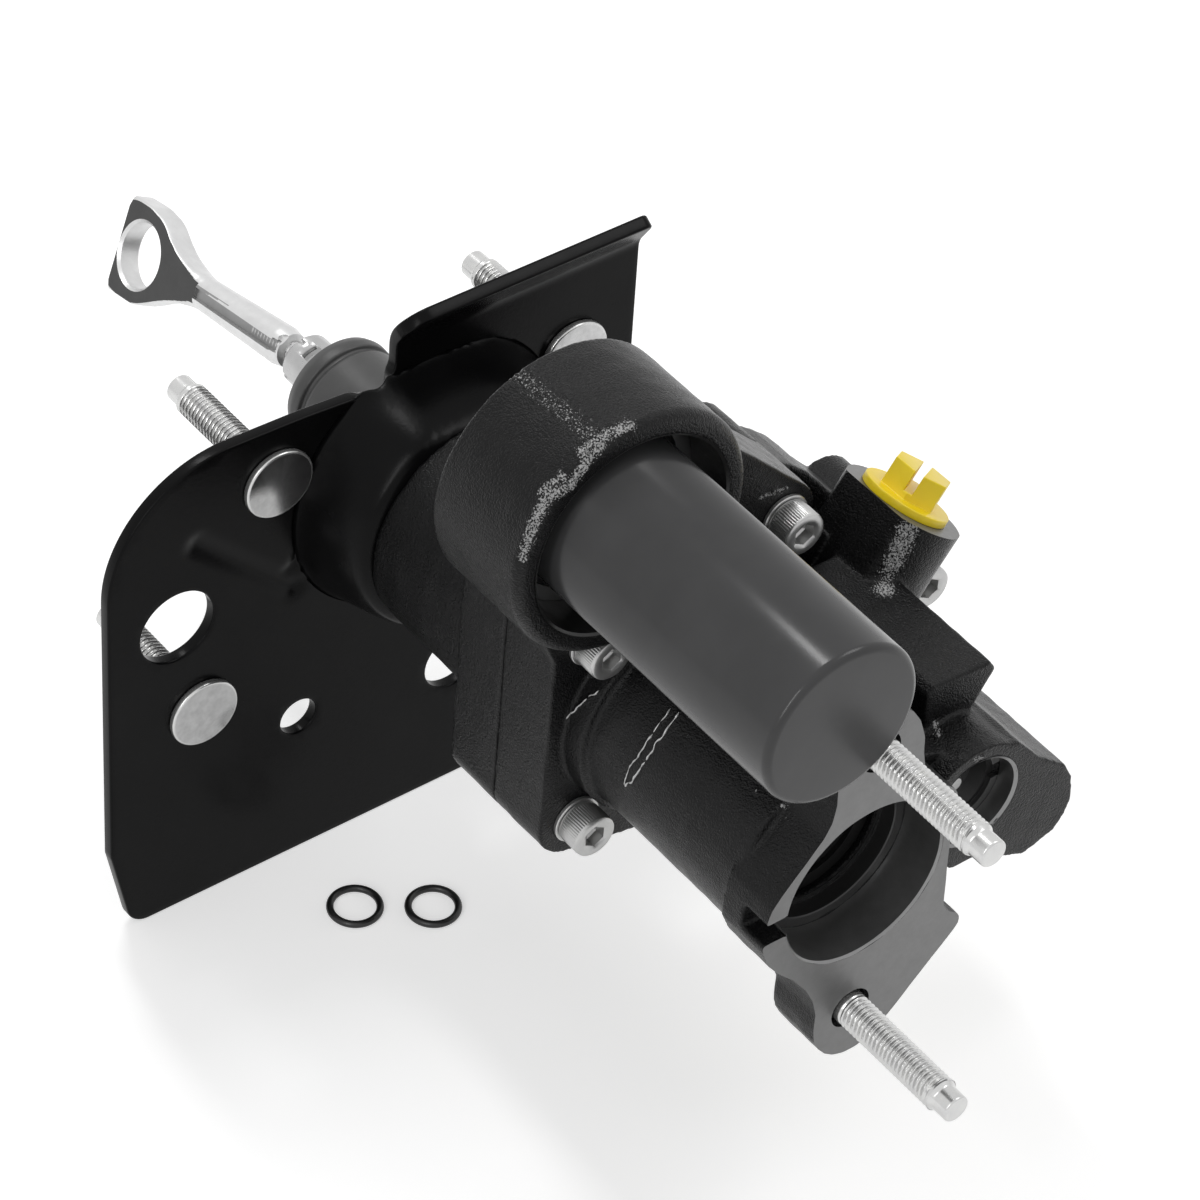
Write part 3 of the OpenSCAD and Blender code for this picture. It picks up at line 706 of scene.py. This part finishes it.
def sawn(bm, point, way, near, index):
    """Cuts the mesh off beyond a plane, within the faces that near picks, and closes it with a
    flat face."""
    faces = [f for f in bm.faces if near(f.calc_center_median())]
    edges = list({e for f in faces for e in f.edges})
    verts = list({v for f in faces for v in f.verts})
    bmesh.ops.bisect_plane(bm, geom=verts + edges + faces, dist=1e-7, plane_co=point, plane_no=way, clear_outer=True)
    rim = [e for e in bm.edges if e.is_boundary]
    made = bmesh.ops.triangle_fill(bm, use_beauty=True, edges=rim, normal=way)
    for f in made["geom"]:
        if isinstance(f, bmesh.types.BMFace):
            f.material_index = index
            f.smooth = False


def added(bm, v, faces, index, crease):
    """Adds a closed form to the mesh, smooth but for edges over the crease angle."""
    part = bpy.data.meshes.new("part")
    part.from_pydata(((v + (0, 0, AXIS_Z)) * MM).tolist(), [], faces)
    add = bmesh.new()
    add.from_mesh(part)
    bmesh.ops.recalc_face_normals(add, faces=add.faces)
    for f in add.faces:
        f.material_index = index
        f.smooth = True
    for e in add.edges:
        e.smooth = not (len(e.link_faces) == 2 and e.calc_face_angle(0) > radians(crease))
    add.to_mesh(part)
    add.free()
    bm.from_mesh(part)
    bpy.data.meshes.remove(part)


def turned_skin(bm, profile, y, z, index, a0=0.0, a1=360.0, n=160):
    """Adds a thin turned ring to the mesh: the closed profile (x, r) swept from angle a0 to a1."""
    x, r = np.asarray(profile, float).T
    whole = abs(a1 - a0 - 360) < 1e-6
    a = np.radians(np.linspace(a0, a1, n + 1)[:n if whole else n + 1])[:, None]
    v = np.stack([x + 0 * a, y + np.cos(a) * r, z + np.sin(a) * r], -1).reshape(-1, 3)
    m = len(x)
    i = np.arange(len(a) if whole else len(a) - 1)[:, None] * m
    j = np.arange(m)[None]
    k, i2 = (j + 1) % m, (i + m) % len(v)
    faces = np.stack([i + j, i + k, i2 + k, i2 + j], -1).reshape(-1, 4).tolist()
    if not whole:
        faces += [list(range(m))[::-1], list(range(len(v) - m, len(v)))]
    added(bm, v, faces, index, 30)


def swept_fin(bm, line, radius, index):
    """Adds a thin fin to the mesh: rings of eight points along a smoothed line that waves a
    little, half as high again as wide, of a radius that ripples and runs out at both ends."""
    line = np.asarray(line, float)
    along = np.concatenate([[0], np.cumsum(np.linalg.norm(np.diff(line, axis=0), axis=1))])
    t = np.linspace(0, along[-1], int(along[-1] / 0.35) + 1)
    c = np.stack([np.interp(t, along, line[:, k]) for k in range(3)], -1)
    c[1:-1] = (c[:-2] + c[1:-1] * 2 + c[2:]) / 4
    way = np.gradient(c, axis=0)
    way /= np.linalg.norm(way, axis=1, keepdims=True)
    out = np.column_stack([np.zeros(len(c)), c[:, 1:]])
    out -= np.sum(out * way, 1)[:, None] * way
    out /= np.linalg.norm(out, axis=1, keepdims=True)
    cross = np.cross(way, out)
    r = radius * (1 + 0.35 * ripple(c, 2.0, 4)) * np.clip(np.minimum(t, t[-1] - t) / 0.8 + 0.02, 0.02, 1)
    c = c + cross * (0.18 * ripple(c, 3.1, 7))[:, None] + out * 0.16
    q = (np.arange(8) * pi / 4)[None, :, None]
    ring = out[:, None] * np.cos(q) * 1.5 + cross[:, None] * np.sin(q)
    v = (c[:, None] + ring * r[:, None, None]).reshape(-1, 3)
    faces = tube_faces(len(c), 8).tolist() + [list(range(8))[::-1], list(range(len(v) - 8, len(v)))]
    added(bm, v, faces, index, 180)


cover = casting("cover_casting", "cover", 0.7, 4, 120000)
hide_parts("cover")
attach(cover, "booster")


def on_boss(v, low, high, reach):
    """Points between two heights along the port boss, within reach of its axis."""
    up = (v - BOSS_FOOT) @ BOSS_WAY
    off = np.linalg.norm(v - BOSS_FOOT - np.asarray(up)[..., None] * BOSS_WAY, axis=-1)
    return (up > low) & (up < high) & (off < reach)


def stretch_faces(v):
    """Moves the front face and the boss's top out, to be sawn off flat after the remesh, and
    widens the bores by the depth of the skins that line them."""
    front = np.abs(v[:, 0] - FACE_X) < 0.02
    for axis, r, x0, x1, more in BORES:
        off = v[:, 1:] - axis
        on = (np.abs(np.hypot(*off.T) - r) < 0.06) & (v[:, 0] > x0) & (v[:, 0] < x1)
        v = v + np.column_stack([np.zeros(len(v)), off * (more / r)]) * on[:, None]
    v = v + front[:, None] * (4.0, 0, 0)
    return v + on_boss(v, BOSS_LEN - 0.05, BOSS_LEN + 0.05, 18.5)[:, None] * BOSS_WAY * 3


# casting fins: line, width and height; rough patches: line, width, height and level of the painted glint
FINS = [
    ([(136, -30.9, 1.6), (138.7, -30.3, 6), (140.3, -28.4, 12.1), (140.7, -26, 16.6), (140.9, -22.7, 20.9),
      (140.5, -18.2, 25)], 0.34, 0.45),
    ([(136, -30.9, 1.6), (135.8, -30.3, 5.8), (136.7, -29.3, 9.6), (137.8, -27.6, 13.9), (138, -25.4, 17.5),
      (137.8, -20.8, 22.8), (138.1, -18.9, 24.5)], 0.30, 0.36),
    ([(112.6, -32.8, 7.6), (114.2, -30.5, 12.8), (116.5, -28.5, 16.8), (118.1, -26.7, 19.6)], 0.34, 0.4),
]
ROUGH_AND_GLINTS = [
    ([(124.1, -42.5, 113), (124.3, -36.1, 115.3), (125.4, -29.3, 116.4)], 3.2, 0.22, 1.05),
    ([(127.3, -47.4, 107.6), (126.8, -41.8, 113.2), (125.9, -38.5, 114.6)], 2.8, 0.22, 1.1),
    ([(122.8, -53.9, 104.6), (124.9, -49.4, 108.8)], 2.4, 0.2, 1.0),
    ([(127.1, -62.2, 89), (126.1, -58.8, 97.4), (125.1, -54.1, 104.4), (127.0, -48.2, 106.8)], 2.8, 0.24, 1.1),
    ([(131, 64.1, 40), (131.9, 59.8, 32.2), (135.4, 53.8, 27.1)], 5.0, 0.2, 1.12),
    ([(172.3, 42.2, 14.5), (175.9, 40.3, 13.7)], 1.8, 0.2, 1.0),
    ([(187.0, 43.5, 12.1), (187.2, 45.9, 11.9)], 1.5, 0.2, 1.0),
    ([(181.8, -17.3, 24.6), (182.3, -16.8, 24.6)], 1.2, 0.2, 1.0),
    ([(173.6, -19.2, 24.2), (174, -19, 24.3)], 0.9, 0.2, 1.0),
    ([(112.3, 36.4, 54.4), (112.3, 28.3, 55.2)], 1.6, 0.2, 1.0),
    ([(92, -39.3, 114.3), (121, -38.3, 114.7)], 4.5, 0.16, 0.66),
]
housing = casting("housing_casting", "housing", 0.62, 4, 172000, stretch_faces,
                  lambda v: rounded_rim(v, CUP, CUP_FRONT, CUP_R, 3.2), FINS, ROUGH_AND_GLINTS)
for material in (machined, bored, deep_bore_shade, raw_fin):
    housing.data.materials.append(material)
bm = bmesh.new()
bm.from_mesh(housing.data)
sawn(bm, (FACE_X * MM, 0, 0), (1, 0, 0), lambda c: c.x > 0.19, PLAIN)
boss_top = (BOSS_FOOT + BOSS_WAY * BOSS_LEN + (0, 0, AXIS_Z)) * MM
sawn(bm, Vector(boss_top), Vector(BOSS_WAY),
     lambda c: on_boss(np.array(c) / MM - (0, 0, AXIS_Z), BOSS_LEN - 4, BOSS_LEN + 6, 22), PLAIN)
# the bores' skins: pilot (open at the rim slot) and its step, counterbore, spool bore, cup; the step, counterbore and
# cup take the near-black skin, painted shade for the deep parts
turned_skin(bm, [(FACE_X, 25.92), (FACE_X - 0.7, 25.28), (188.3, 25.28), (188.3, 25.92)], 0, 0, BRIGHT_BORE,
            -170, 174.1, 150)
turned_skin(bm, [(188.3, 25.92), (188.3, 25.28), (182.45, 25.28), (182.45, 25.92)], 0, 0, BRIGHT_BORE)
turned_skin(bm, [(182.42, 25.6), (182.42, 22.3), (182.1, COUNTER_R), (177.4, COUNTER_R), (177.4, 20.4), (177.0, 20.4),
                 (177.0, 22.5), (181.8, 22.5), (181.8, 25.6)], 0, 0, DARK_BORE)
turned_skin(bm, [(SPOOL_FRONT + 0.05, 14.7), (SPOOL_FRONT - 0.6, 13.78), (181, 13.78), (181, 14.5), (187, 14.6)],
            *SPOOL, BRIGHT_BORE)
turned_skin(bm, [(CUP_FRONT + 0.04, 30.5), (CUP_FRONT - 0.45, CUP_BORE_R), (CUP_FLOOR, CUP_BORE_R), (CUP_FLOOR, 30.5)],
            *CUP, DARK_BORE)
for line, wide, high in FINS:
    swept_fin(bm, line, wide * 0.62, FIN)
bm.to_mesh(housing.data)
bm.free()
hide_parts("housing")
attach(housing, "booster")

# Accumulator: a deep-drawn steel can with a rounded end under satin dark grey paint, turned
# to the length of the drawn can, with the foot that the cup's ring holds.
CAN_R, CAN_RIM = 23.7, 2.2  # outer radius, rounding of its end
can_paint = coat("can_satin_grey", ((0.042, 0.042, 0.043), (0.050, 0.050, 0.051)), (70, 3), (0.19, 0.24), (300, 3),
                 ((700, 4, 0.6), 0.05, 0.0002), specular=0.30)
lo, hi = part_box("accumulator_can")
can_lo, can_hi = lo[0] / MM, hi[0] / MM
can_profile = [(can_hi, 0), (can_hi, 6)]
can_profile += [(can_hi + CAN_RIM * (cos(t) - 1), CAN_R + CAN_RIM * (sin(t) - 1)) for t in np.linspace(0, pi / 2, 12)]
can_profile += [(can_lo + 2.6, CAN_R), (can_lo + 2, 24.4), (can_lo + 2, 29.2), (can_lo, 29.4), (can_lo, 21.4),
                (can_hi - 4, 21.3), (can_hi - 4, 0)]
can = tidy(put("accumulator_shell", *shifted(lathe(can_profile, 160), *CUP), can_paint), sharp=60)
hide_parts("accumulator_can")
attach(can, "booster")

# Cover screws: M8 socket cap screws, knurled heads, bright zinc, each on a thin washer. They
# pull the housing's flange onto the cover.
SCREWS = [(-27.2, -31.1), (-25.9, 32.4), (36.5, 44.6), (84.5, 1.5), (50, -45)]
SEAT = 112.3  # the washers' seats on the housing
WASHER, WASHER_R = 1.2, 7.2
SIDE = [(0, 3.0), (0, 5.9), (0.25, 6.35), (0.9, 6.42), (1.1, 6.42), (7.0, 6.42), (7.25, 6.42), (7.7, 6.3),
        (8.0, 5.8), (8.0, 4.5), (8.0, 4.15)]  # the head's (x, r)
KNURLED = (1.1, 7.0)  # its rows that carry the knurl


def knurled_head(x0, n=416, teeth=26):
    """A lathed head whose side carries a fine cosine knurl, with a hexagon socket: the socket's
    rings are a hexagon's radius over the angle."""
    a = np.arange(n) * 2 * pi / n
    hexagon = 3.46 * cos(pi / 6) / np.cos((a + pi / 6) % (pi / 3) - pi / 6)
    knurl = 0.2 * np.abs(np.cos(teeth * a)) - 0.12
    rows = [(x, r + knurl * (x in KNURLED)) for x, r in SIDE]
    rows += [(7.55, hexagon), (4.4, hexagon), (4.2, hexagon * 0.94), (3.4, hexagon * 0.02)]
    v = np.vstack([np.column_stack([np.full(n, x0 + x), r * np.cos(a), r * np.sin(a)]) for x, r in rows])
    return v, tube_faces(len(rows), n)


parts, rings = [], []
head_x = SEAT + WASHER
for y, z in SCREWS:
    parts.append(shifted(knurled_head(head_x), y, z))
    parts.append(shifted(lathe([(head_x + 0.1, 0), (head_x + 0.1, 4), (78, 4), (77, 3.2), (77, 0)], 32), y, z))
    rings.append(shifted(lathe([(SEAT, 4.3), (SEAT, 7.0), (SEAT + 0.2, WASHER_R), (SEAT + 1, WASHER_R), (head_x, 7.0),
                                (head_x, 4.3), (SEAT, 4.3)], 64), y, z))
screws = tidy(put("cap_screws", *join(parts), zinc), sharp=35)
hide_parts("cover_screws")
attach(screws, "booster")
washers = tidy(put("washers", *join(rings), zinc), sharp=35)
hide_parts("screw_washers")
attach(washers, "booster")


# Port plugs: moulded yellow shipping caps with a slotted hexagon, pushed into the ports. The
# drawn solids have the whole shape and only get rounded edges.
YELLOW = (0.93, 0.70, 0.01)
yellow = coat("yellow_cap", (tuple(c * 0.93 for c in YELLOW), YELLOW), (120, 3), (0.31, 0.44), (600, 3),
              ((1500, 3), 0.06, 0.0002))
shader = yellow.node_tree.nodes["Principled BSDF"]
shader.inputs["Subsurface Weight"].default_value = 0.08
shader.inputs["Subsurface Radius"].default_value = (0.003, 0.002, 0.0005)


def crisp_copy(name, node, material, width):
    """A merged copy of the node's mesh, flat faces made whole, its edges rounded by a bevel."""
    obj = copied(name, node)
    mesh = obj.data
    bm = bmesh.new()
    bm.from_mesh(mesh)
    bmesh.ops.remove_doubles(bm, verts=bm.verts, dist=2e-6)
    bmesh.ops.dissolve_limit(bm, angle_limit=radians(1.0), verts=bm.verts, edges=bm.edges)
    bmesh.ops.recalc_face_normals(bm, faces=bm.faces)
    bm.to_mesh(mesh)
    bm.free()
    mesh.materials.clear()
    mesh.materials.append(material)
    mesh.shade_smooth()
    modifier(obj, "BEVEL", width=width * MM, segments=3, limit_method="ANGLE", angle_limit=radians(25),
             use_clamp_overlap=True, harden_normals=True)
    return obj


plugs = crisp_copy("yellow_plugs", "port_plugs", yellow, 0.35)
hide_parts("port_plugs")
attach(plugs, "booster")


# Pedal rod: forged steel, its eye ground flat on both faces, with a milled channel along the
# shank; the ball stud is screwed into its end and turns in the socket of the input rod.
def steel_material(name, tint, rough):
    return coat(name, (grey(tint * 0.88), grey(tint)), (180, 4, 0.6), (rough - 0.05, rough + 0.08), (800, 3),
                ((1500, 4, 0.6), 0.07, 0.0002), metal=0.85)


forged = steel_material("forged_bright", 0.72, 0.34)
ground = steel_material("ground_steel", 0.50, 0.28)
eye_face = steel_material("ground_eye_face", 0.075, 0.45)
# the channel's darker grey is partly its milled finish and partly painted shade in the groove
milled_with_shade = steel_material("milled_channel_and_painted_shade", 0.32, 0.42)
EYE_X, EYE_R, GROUND = -84.4, 9.86, 4.0  # the eye's axis and radius, half the ground thickness
BALL_X, DROOP, ROLL = -51.0, radians(-11.26), radians(-26.5)
PEDAL = np.array([[cos(DROOP), 0, sin(DROOP)], [0, 1, 0], [-sin(DROOP), 0, cos(DROOP)]]) @ np.array(
    [[1, 0, 0], [0, cos(ROLL), -sin(ROLL)], [0, sin(ROLL), cos(ROLL)]])


def pedal_placed(v):
    """From the rod's own frame, ball at the origin and shank towards -x, to the drawing's."""
    return np.asarray(v, float) @ PEDAL.T + (BALL_X, 0, 0)


def forged_rod():
    """Superellipse sections along x: y = t |cos|^(2/n), z = mid + h |sin|^(2/n), flattened at the
    ground faces; n falls from 9 at the eye to 2 in the round shank, and both ends close in a point."""
    x = np.concatenate([[-95.3, -95.3, -95.15], np.linspace(-95, -94.4, 5), [-94.2, -93.9, -93.5],
                        np.linspace(-93.2, -53.86, 90), np.linspace(-53.8, -14, 60),
                        [-13, -12, -11, -10.2, -9.6, -9.1, -8.8, -8.6, -8.6]])
    up = np.interp(x, [-95.3, -94.4, -85, -79, -76, -72, -68, -65.5, -60, -53.4, -14, -9.6, -8.6],
                   [12.6, 15, 15, 13.9, 12.6, 9.8, 7.7, 6.8, 5.5, 5.05, 6.0, 5.2, 3.4])
    down = np.interp(x, [-95.3, -94.4, -82, -79, -75, -71, -67, -62, -57, -53.4, -14, -9.6, -8.6],
                     [12.6, 14.5, 14.5, 13.6, 11.7, 9.6, 7.9, 6.3, 5.3, 5.05, 6.0, 5.2, 3.4])
    k = np.ones(5) / 5
    body = (x > -92) & (x < -14.5)
    up, down = (np.where(body, np.convolve(np.pad(h, 2, "edge"), k, "valid"), h) for h in (up, down))
    thick = np.interp(x, [-95.3, -90, -64, -53, -14, -9.6, -8.6], [4.2, 4.8, 4.8, 5.05, 6.0, 5.2, 3.4])
    power = np.interp(x, [-95.3, -70, -56, -53], [9, 7, 2.2, 2])
    size = np.ones(len(x))
    size[[0, -1]] = 0.001
    size[1] = 0.97
    a = (np.arange(120) + 0.5) * 2 * pi / 120
    c, q = np.cos(a)[None], np.sin(a)[None]
    e = (2 / power)[:, None]
    y = thick[:, None] * np.sign(c) * np.abs(c) ** e
    mid, half = ((up - down) / 2)[:, None], ((up + down) / 2)[:, None]
    y = np.where((x < -53.83)[:, None], np.clip(y, -GROUND, GROUND), y) * size[:, None]
    z = mid + half * np.sign(q) * np.abs(q) ** e * size[:, None]
    v = np.stack([np.broadcast_to(x[:, None], y.shape), y, z], -1).reshape(-1, 3)
    return v, tube_faces(len(x), 120)


def box_part(lo, hi):
    v = np.array([[x, y, z] for x in (lo[0], hi[0]) for y in (lo[1], hi[1]) for z in (lo[2], hi[2])], float)
    return v, np.array([(0, 1, 3, 2), (4, 6, 7, 5), (0, 4, 5, 1), (2, 3, 7, 6), (0, 2, 6, 4), (1, 5, 7, 3)])


def carved(obj, cutters):
    """Takes closed cutters off the piece, one exact boolean each."""
    for cut in cutters:
        modifier(obj, "BOOLEAN", solver="EXACT", object=cut)
    applied(obj)
    for cut in cutters:
        bpy.data.objects.remove(cut)


def cutter(part, material):
    return tidy(put("cutter", *part, material, smooth=False))


def face_spans(mesh, v):
    """Lowest and highest corner of each face, coordinate by coordinate."""
    start = np.empty(len(mesh.polygons), np.int32)
    corner = np.empty(len(mesh.loops), np.int32)
    mesh.polygons.foreach_get("loop_start", start)
    mesh.loops.foreach_get("vertex_index", corner)
    return np.minimum.reduceat(v[corner], start), np.maximum.reduceat(v[corner], start)


rod_v, rod_f = forged_rod()
pedal = tidy(put("pedal_push_rod", pedal_placed(rod_v), rod_f, forged))
bore_v, bore_f = lathe([(-8, 0), (-8, 14.5), (-3.1, EYE_R), (3.1, EYE_R), (8, 14.5), (8, 0)], 96)
bore_v = np.column_stack([bore_v[:, 1] + EYE_X, bore_v[:, 0], bore_v[:, 2]])
dimple_v, dimple_f = lathe([(4.7, 0), (4.7, 1.75), (8, 1.9), (8, 0)], 32)
turn_d = radians(37)
dimple_v = np.column_stack([dimple_v[:, 1] - 9.9, -dimple_v[:, 0] * cos(turn_d) - dimple_v[:, 2] * sin(turn_d),
                            dimple_v[:, 0] * sin(turn_d) - dimple_v[:, 2] * cos(turn_d)])
channel = box_part((-54.4, -9, -1.5), (-13, -3.2, 1.9))
notch = box_part((-13.2, -9, -1.3), (-10.2, -1, 2.4))
carved(pedal, [cutter((pedal_placed(v), f), forged)
               for v, f in ((bore_v, bore_f), (dimple_v, dimple_f), channel, notch)])
pedal.data.materials.append(eye_face)
pedal.data.materials.append(milled_with_shade)
own = (read_points(pedal.data) - (BALL_X, 0, 0)) @ PEDAL
lo, hi = face_spans(pedal.data, own)
on_eye = (hi[:, 1] - lo[:, 1] < 0.02) & (np.abs(np.abs(lo[:, 1]) - GROUND) < 0.02) & (hi[:, 0] < -53.7)
in_channel = (lo[:, 1] > -4.8) & (hi[:, 1] < -0.9) & (lo[:, 2] > -1.75) & (hi[:, 2] < 2.85)
in_channel &= (lo[:, 0] > -55) & (hi[:, 0] < -10)
# the channel's faces take the darker grey, partly painted shade
finish_faces(pedal.data, in_channel & ~on_eye, 2)
finish_faces(pedal.data, on_eye, 1)
tidy(pedal, sharp=32)
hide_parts("pedal_rod")
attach(pedal, "pedal_rod")
t = np.linspace(0, pi * 0.81, 28)
ball_profile = [(5.2 * cos(k), 5.2 * sin(k)) for k in t] + [(-5.2, 2.9), (-7.6, 2.9), (-7.9, 3.2), (-8.2, 3.35)]
shank_profile = [(-25.4, 3.35), (-26, 2.8), (-26, 0)]
v, f = join([lathe(ball_profile, 64), thread(-25.4, -8.2, 3.35, 40, 0.6, 1.0), lathe(shank_profile, 40)])
ball = tidy(put("ball_screw", pedal_placed(v), f, ground), sharp=45)
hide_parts("ball_stud")
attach(ball, "pedal_rod")
socket = crisp_copy("input_socket_rod", "input_rod", ground, 0.3)
slit = bmesh.new()
turned_skin(slit, [(-48.9, 6.4), (-48.9, 9), (-47.6, 9), (-47.6, 6.4)], 0, 0, 0, 88, 127, 20)
slit_mesh = bpy.data.meshes.new("slit")
slit.to_mesh(slit_mesh)
slit.free()
slit_mesh.materials.append(ground)
carved(socket, [placed("slit", slit_mesh)])
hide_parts("input_rod")
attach(socket, "input_rod")


# Boot: a moulded rubber sleeve with a rolled rear ring, sprung in the cover's tube.
def rubber(name, tone, rough):
    return coat(name, (grey(tone * 0.8), grey(tone)), (150, 3), (rough - 0.06, rough + 0.08), (500, 3),
                ((1200, 4, 0.6), 0.12, 0.0003))


boot_rubber = rubber("boot_rubber_satin", 0.055, 0.42)
boot_profile = rounded([(-39.5, 6.03), (-39.5, 16.2), (-36.6, 17.2), (-33.8, 17.0), (-33.2, 16.0), (-32.4, 15.9),
                        (-31.2, 16.8), (7, 16.8), (8, 17.4), (13, 17.4), (13, 14.8), (-31.5, 14.8), (-36.8, 13.5),
                        (-36.8, 6.03), (-39.5, 6.03)], 0.8, 4)
boot = tidy(put("rubber_boot", *lathe(boot_profile, 120), boot_rubber), sharp=70)
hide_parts("input_boot")
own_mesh(boot)
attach(boot, "booster")

# Port O-rings: a loose pair of black rubber rings that lie beside the unit, flat at the level
# of the bracket's lower edge.
RING_R, CORD_R, RING_Z = 7.2, 1.1, -123.3
oring_rubber = rubber("oring_rubber", 0.012, 0.32)
rings = []
for cx, cy in ((33.9, -41.2), (46.4, -22.7)):
    a, b = np.meshgrid(np.arange(96) * 2 * pi / 96, np.arange(20) * 2 * pi / 20, indexing="ij")
    q = RING_R + CORD_R * np.cos(b)
    v = np.stack([cx + q * np.cos(a), cy + q * np.sin(a), RING_Z + CORD_R * np.sin(b)], -1).reshape(-1, 3)
    i, j = np.meshgrid(np.arange(96), np.arange(20), indexing="ij")
    i2, j2 = (i + 1) % 96, (j + 1) % 20
    f = np.stack([i * 20 + j, i2 * 20 + j, i2 * 20 + j2, i * 20 + j2], -1).reshape(-1, 4)
    rings.append((v, f))
orings = put("loose_orings", *join(rings), oring_rubber)
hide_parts("port_o_rings")
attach(orings, "booster")

# Inner works: the drawn solids stay and only take their finishes. The two springs are copies
# of their solids.
spring = steel_material("spring_wire", 0.20, 0.35)
alloy = steel_material("turned_alloy", 0.55, 0.30)
phosphate = steel_material("dark_phosphate", 0.035, 0.42)
dark_rubber = rubber("seal_rubber", 0.012, 0.4)
FINISH = {
    zinc: ["bracket_nut"],
    alloy: ["accumulator_piston"],
    spring: ["check_spring", "spool_retaining_ring", "accumulator_ring"],
    phosphate: ["power_piston", "spool_plug", "seat_ring", "spring_seat", "accumulator_base"],
    ground: ["seal_retainer", "lever", "lever_pivot_pin", "lever_input_pin", "lever_spool_pin",
             "spool_valve", "plug_pin", "check_ball"],
    dark_rubber: ["housing_seal", "piston_seal", "input_seal", "spool_plug_o_ring", "accumulator_o_ring",
                  "accumulator_piston_seal"],
}
for name, node, joint, x, keep in (("return_coil", "return_spring", "brake_stroke", 0.171, 0.32),
                                   ("spool_coil", "spool_spring", "valve_travel", 0.168, 0.9)):
    coil = copied(name, node)
    coil.data.materials.clear()
    coil.data.materials.append(spring)
    coil.data.shade_smooth()
    tidy(coil, merge=2e-6, sharp=50)
    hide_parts(node)
    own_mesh(coil)
    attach(coil, "booster")
for material, names in FINISH.items():
    for name in names:
        for slot in NODE[name].material_slots:
            slot.link = "OBJECT"
            slot.material = material
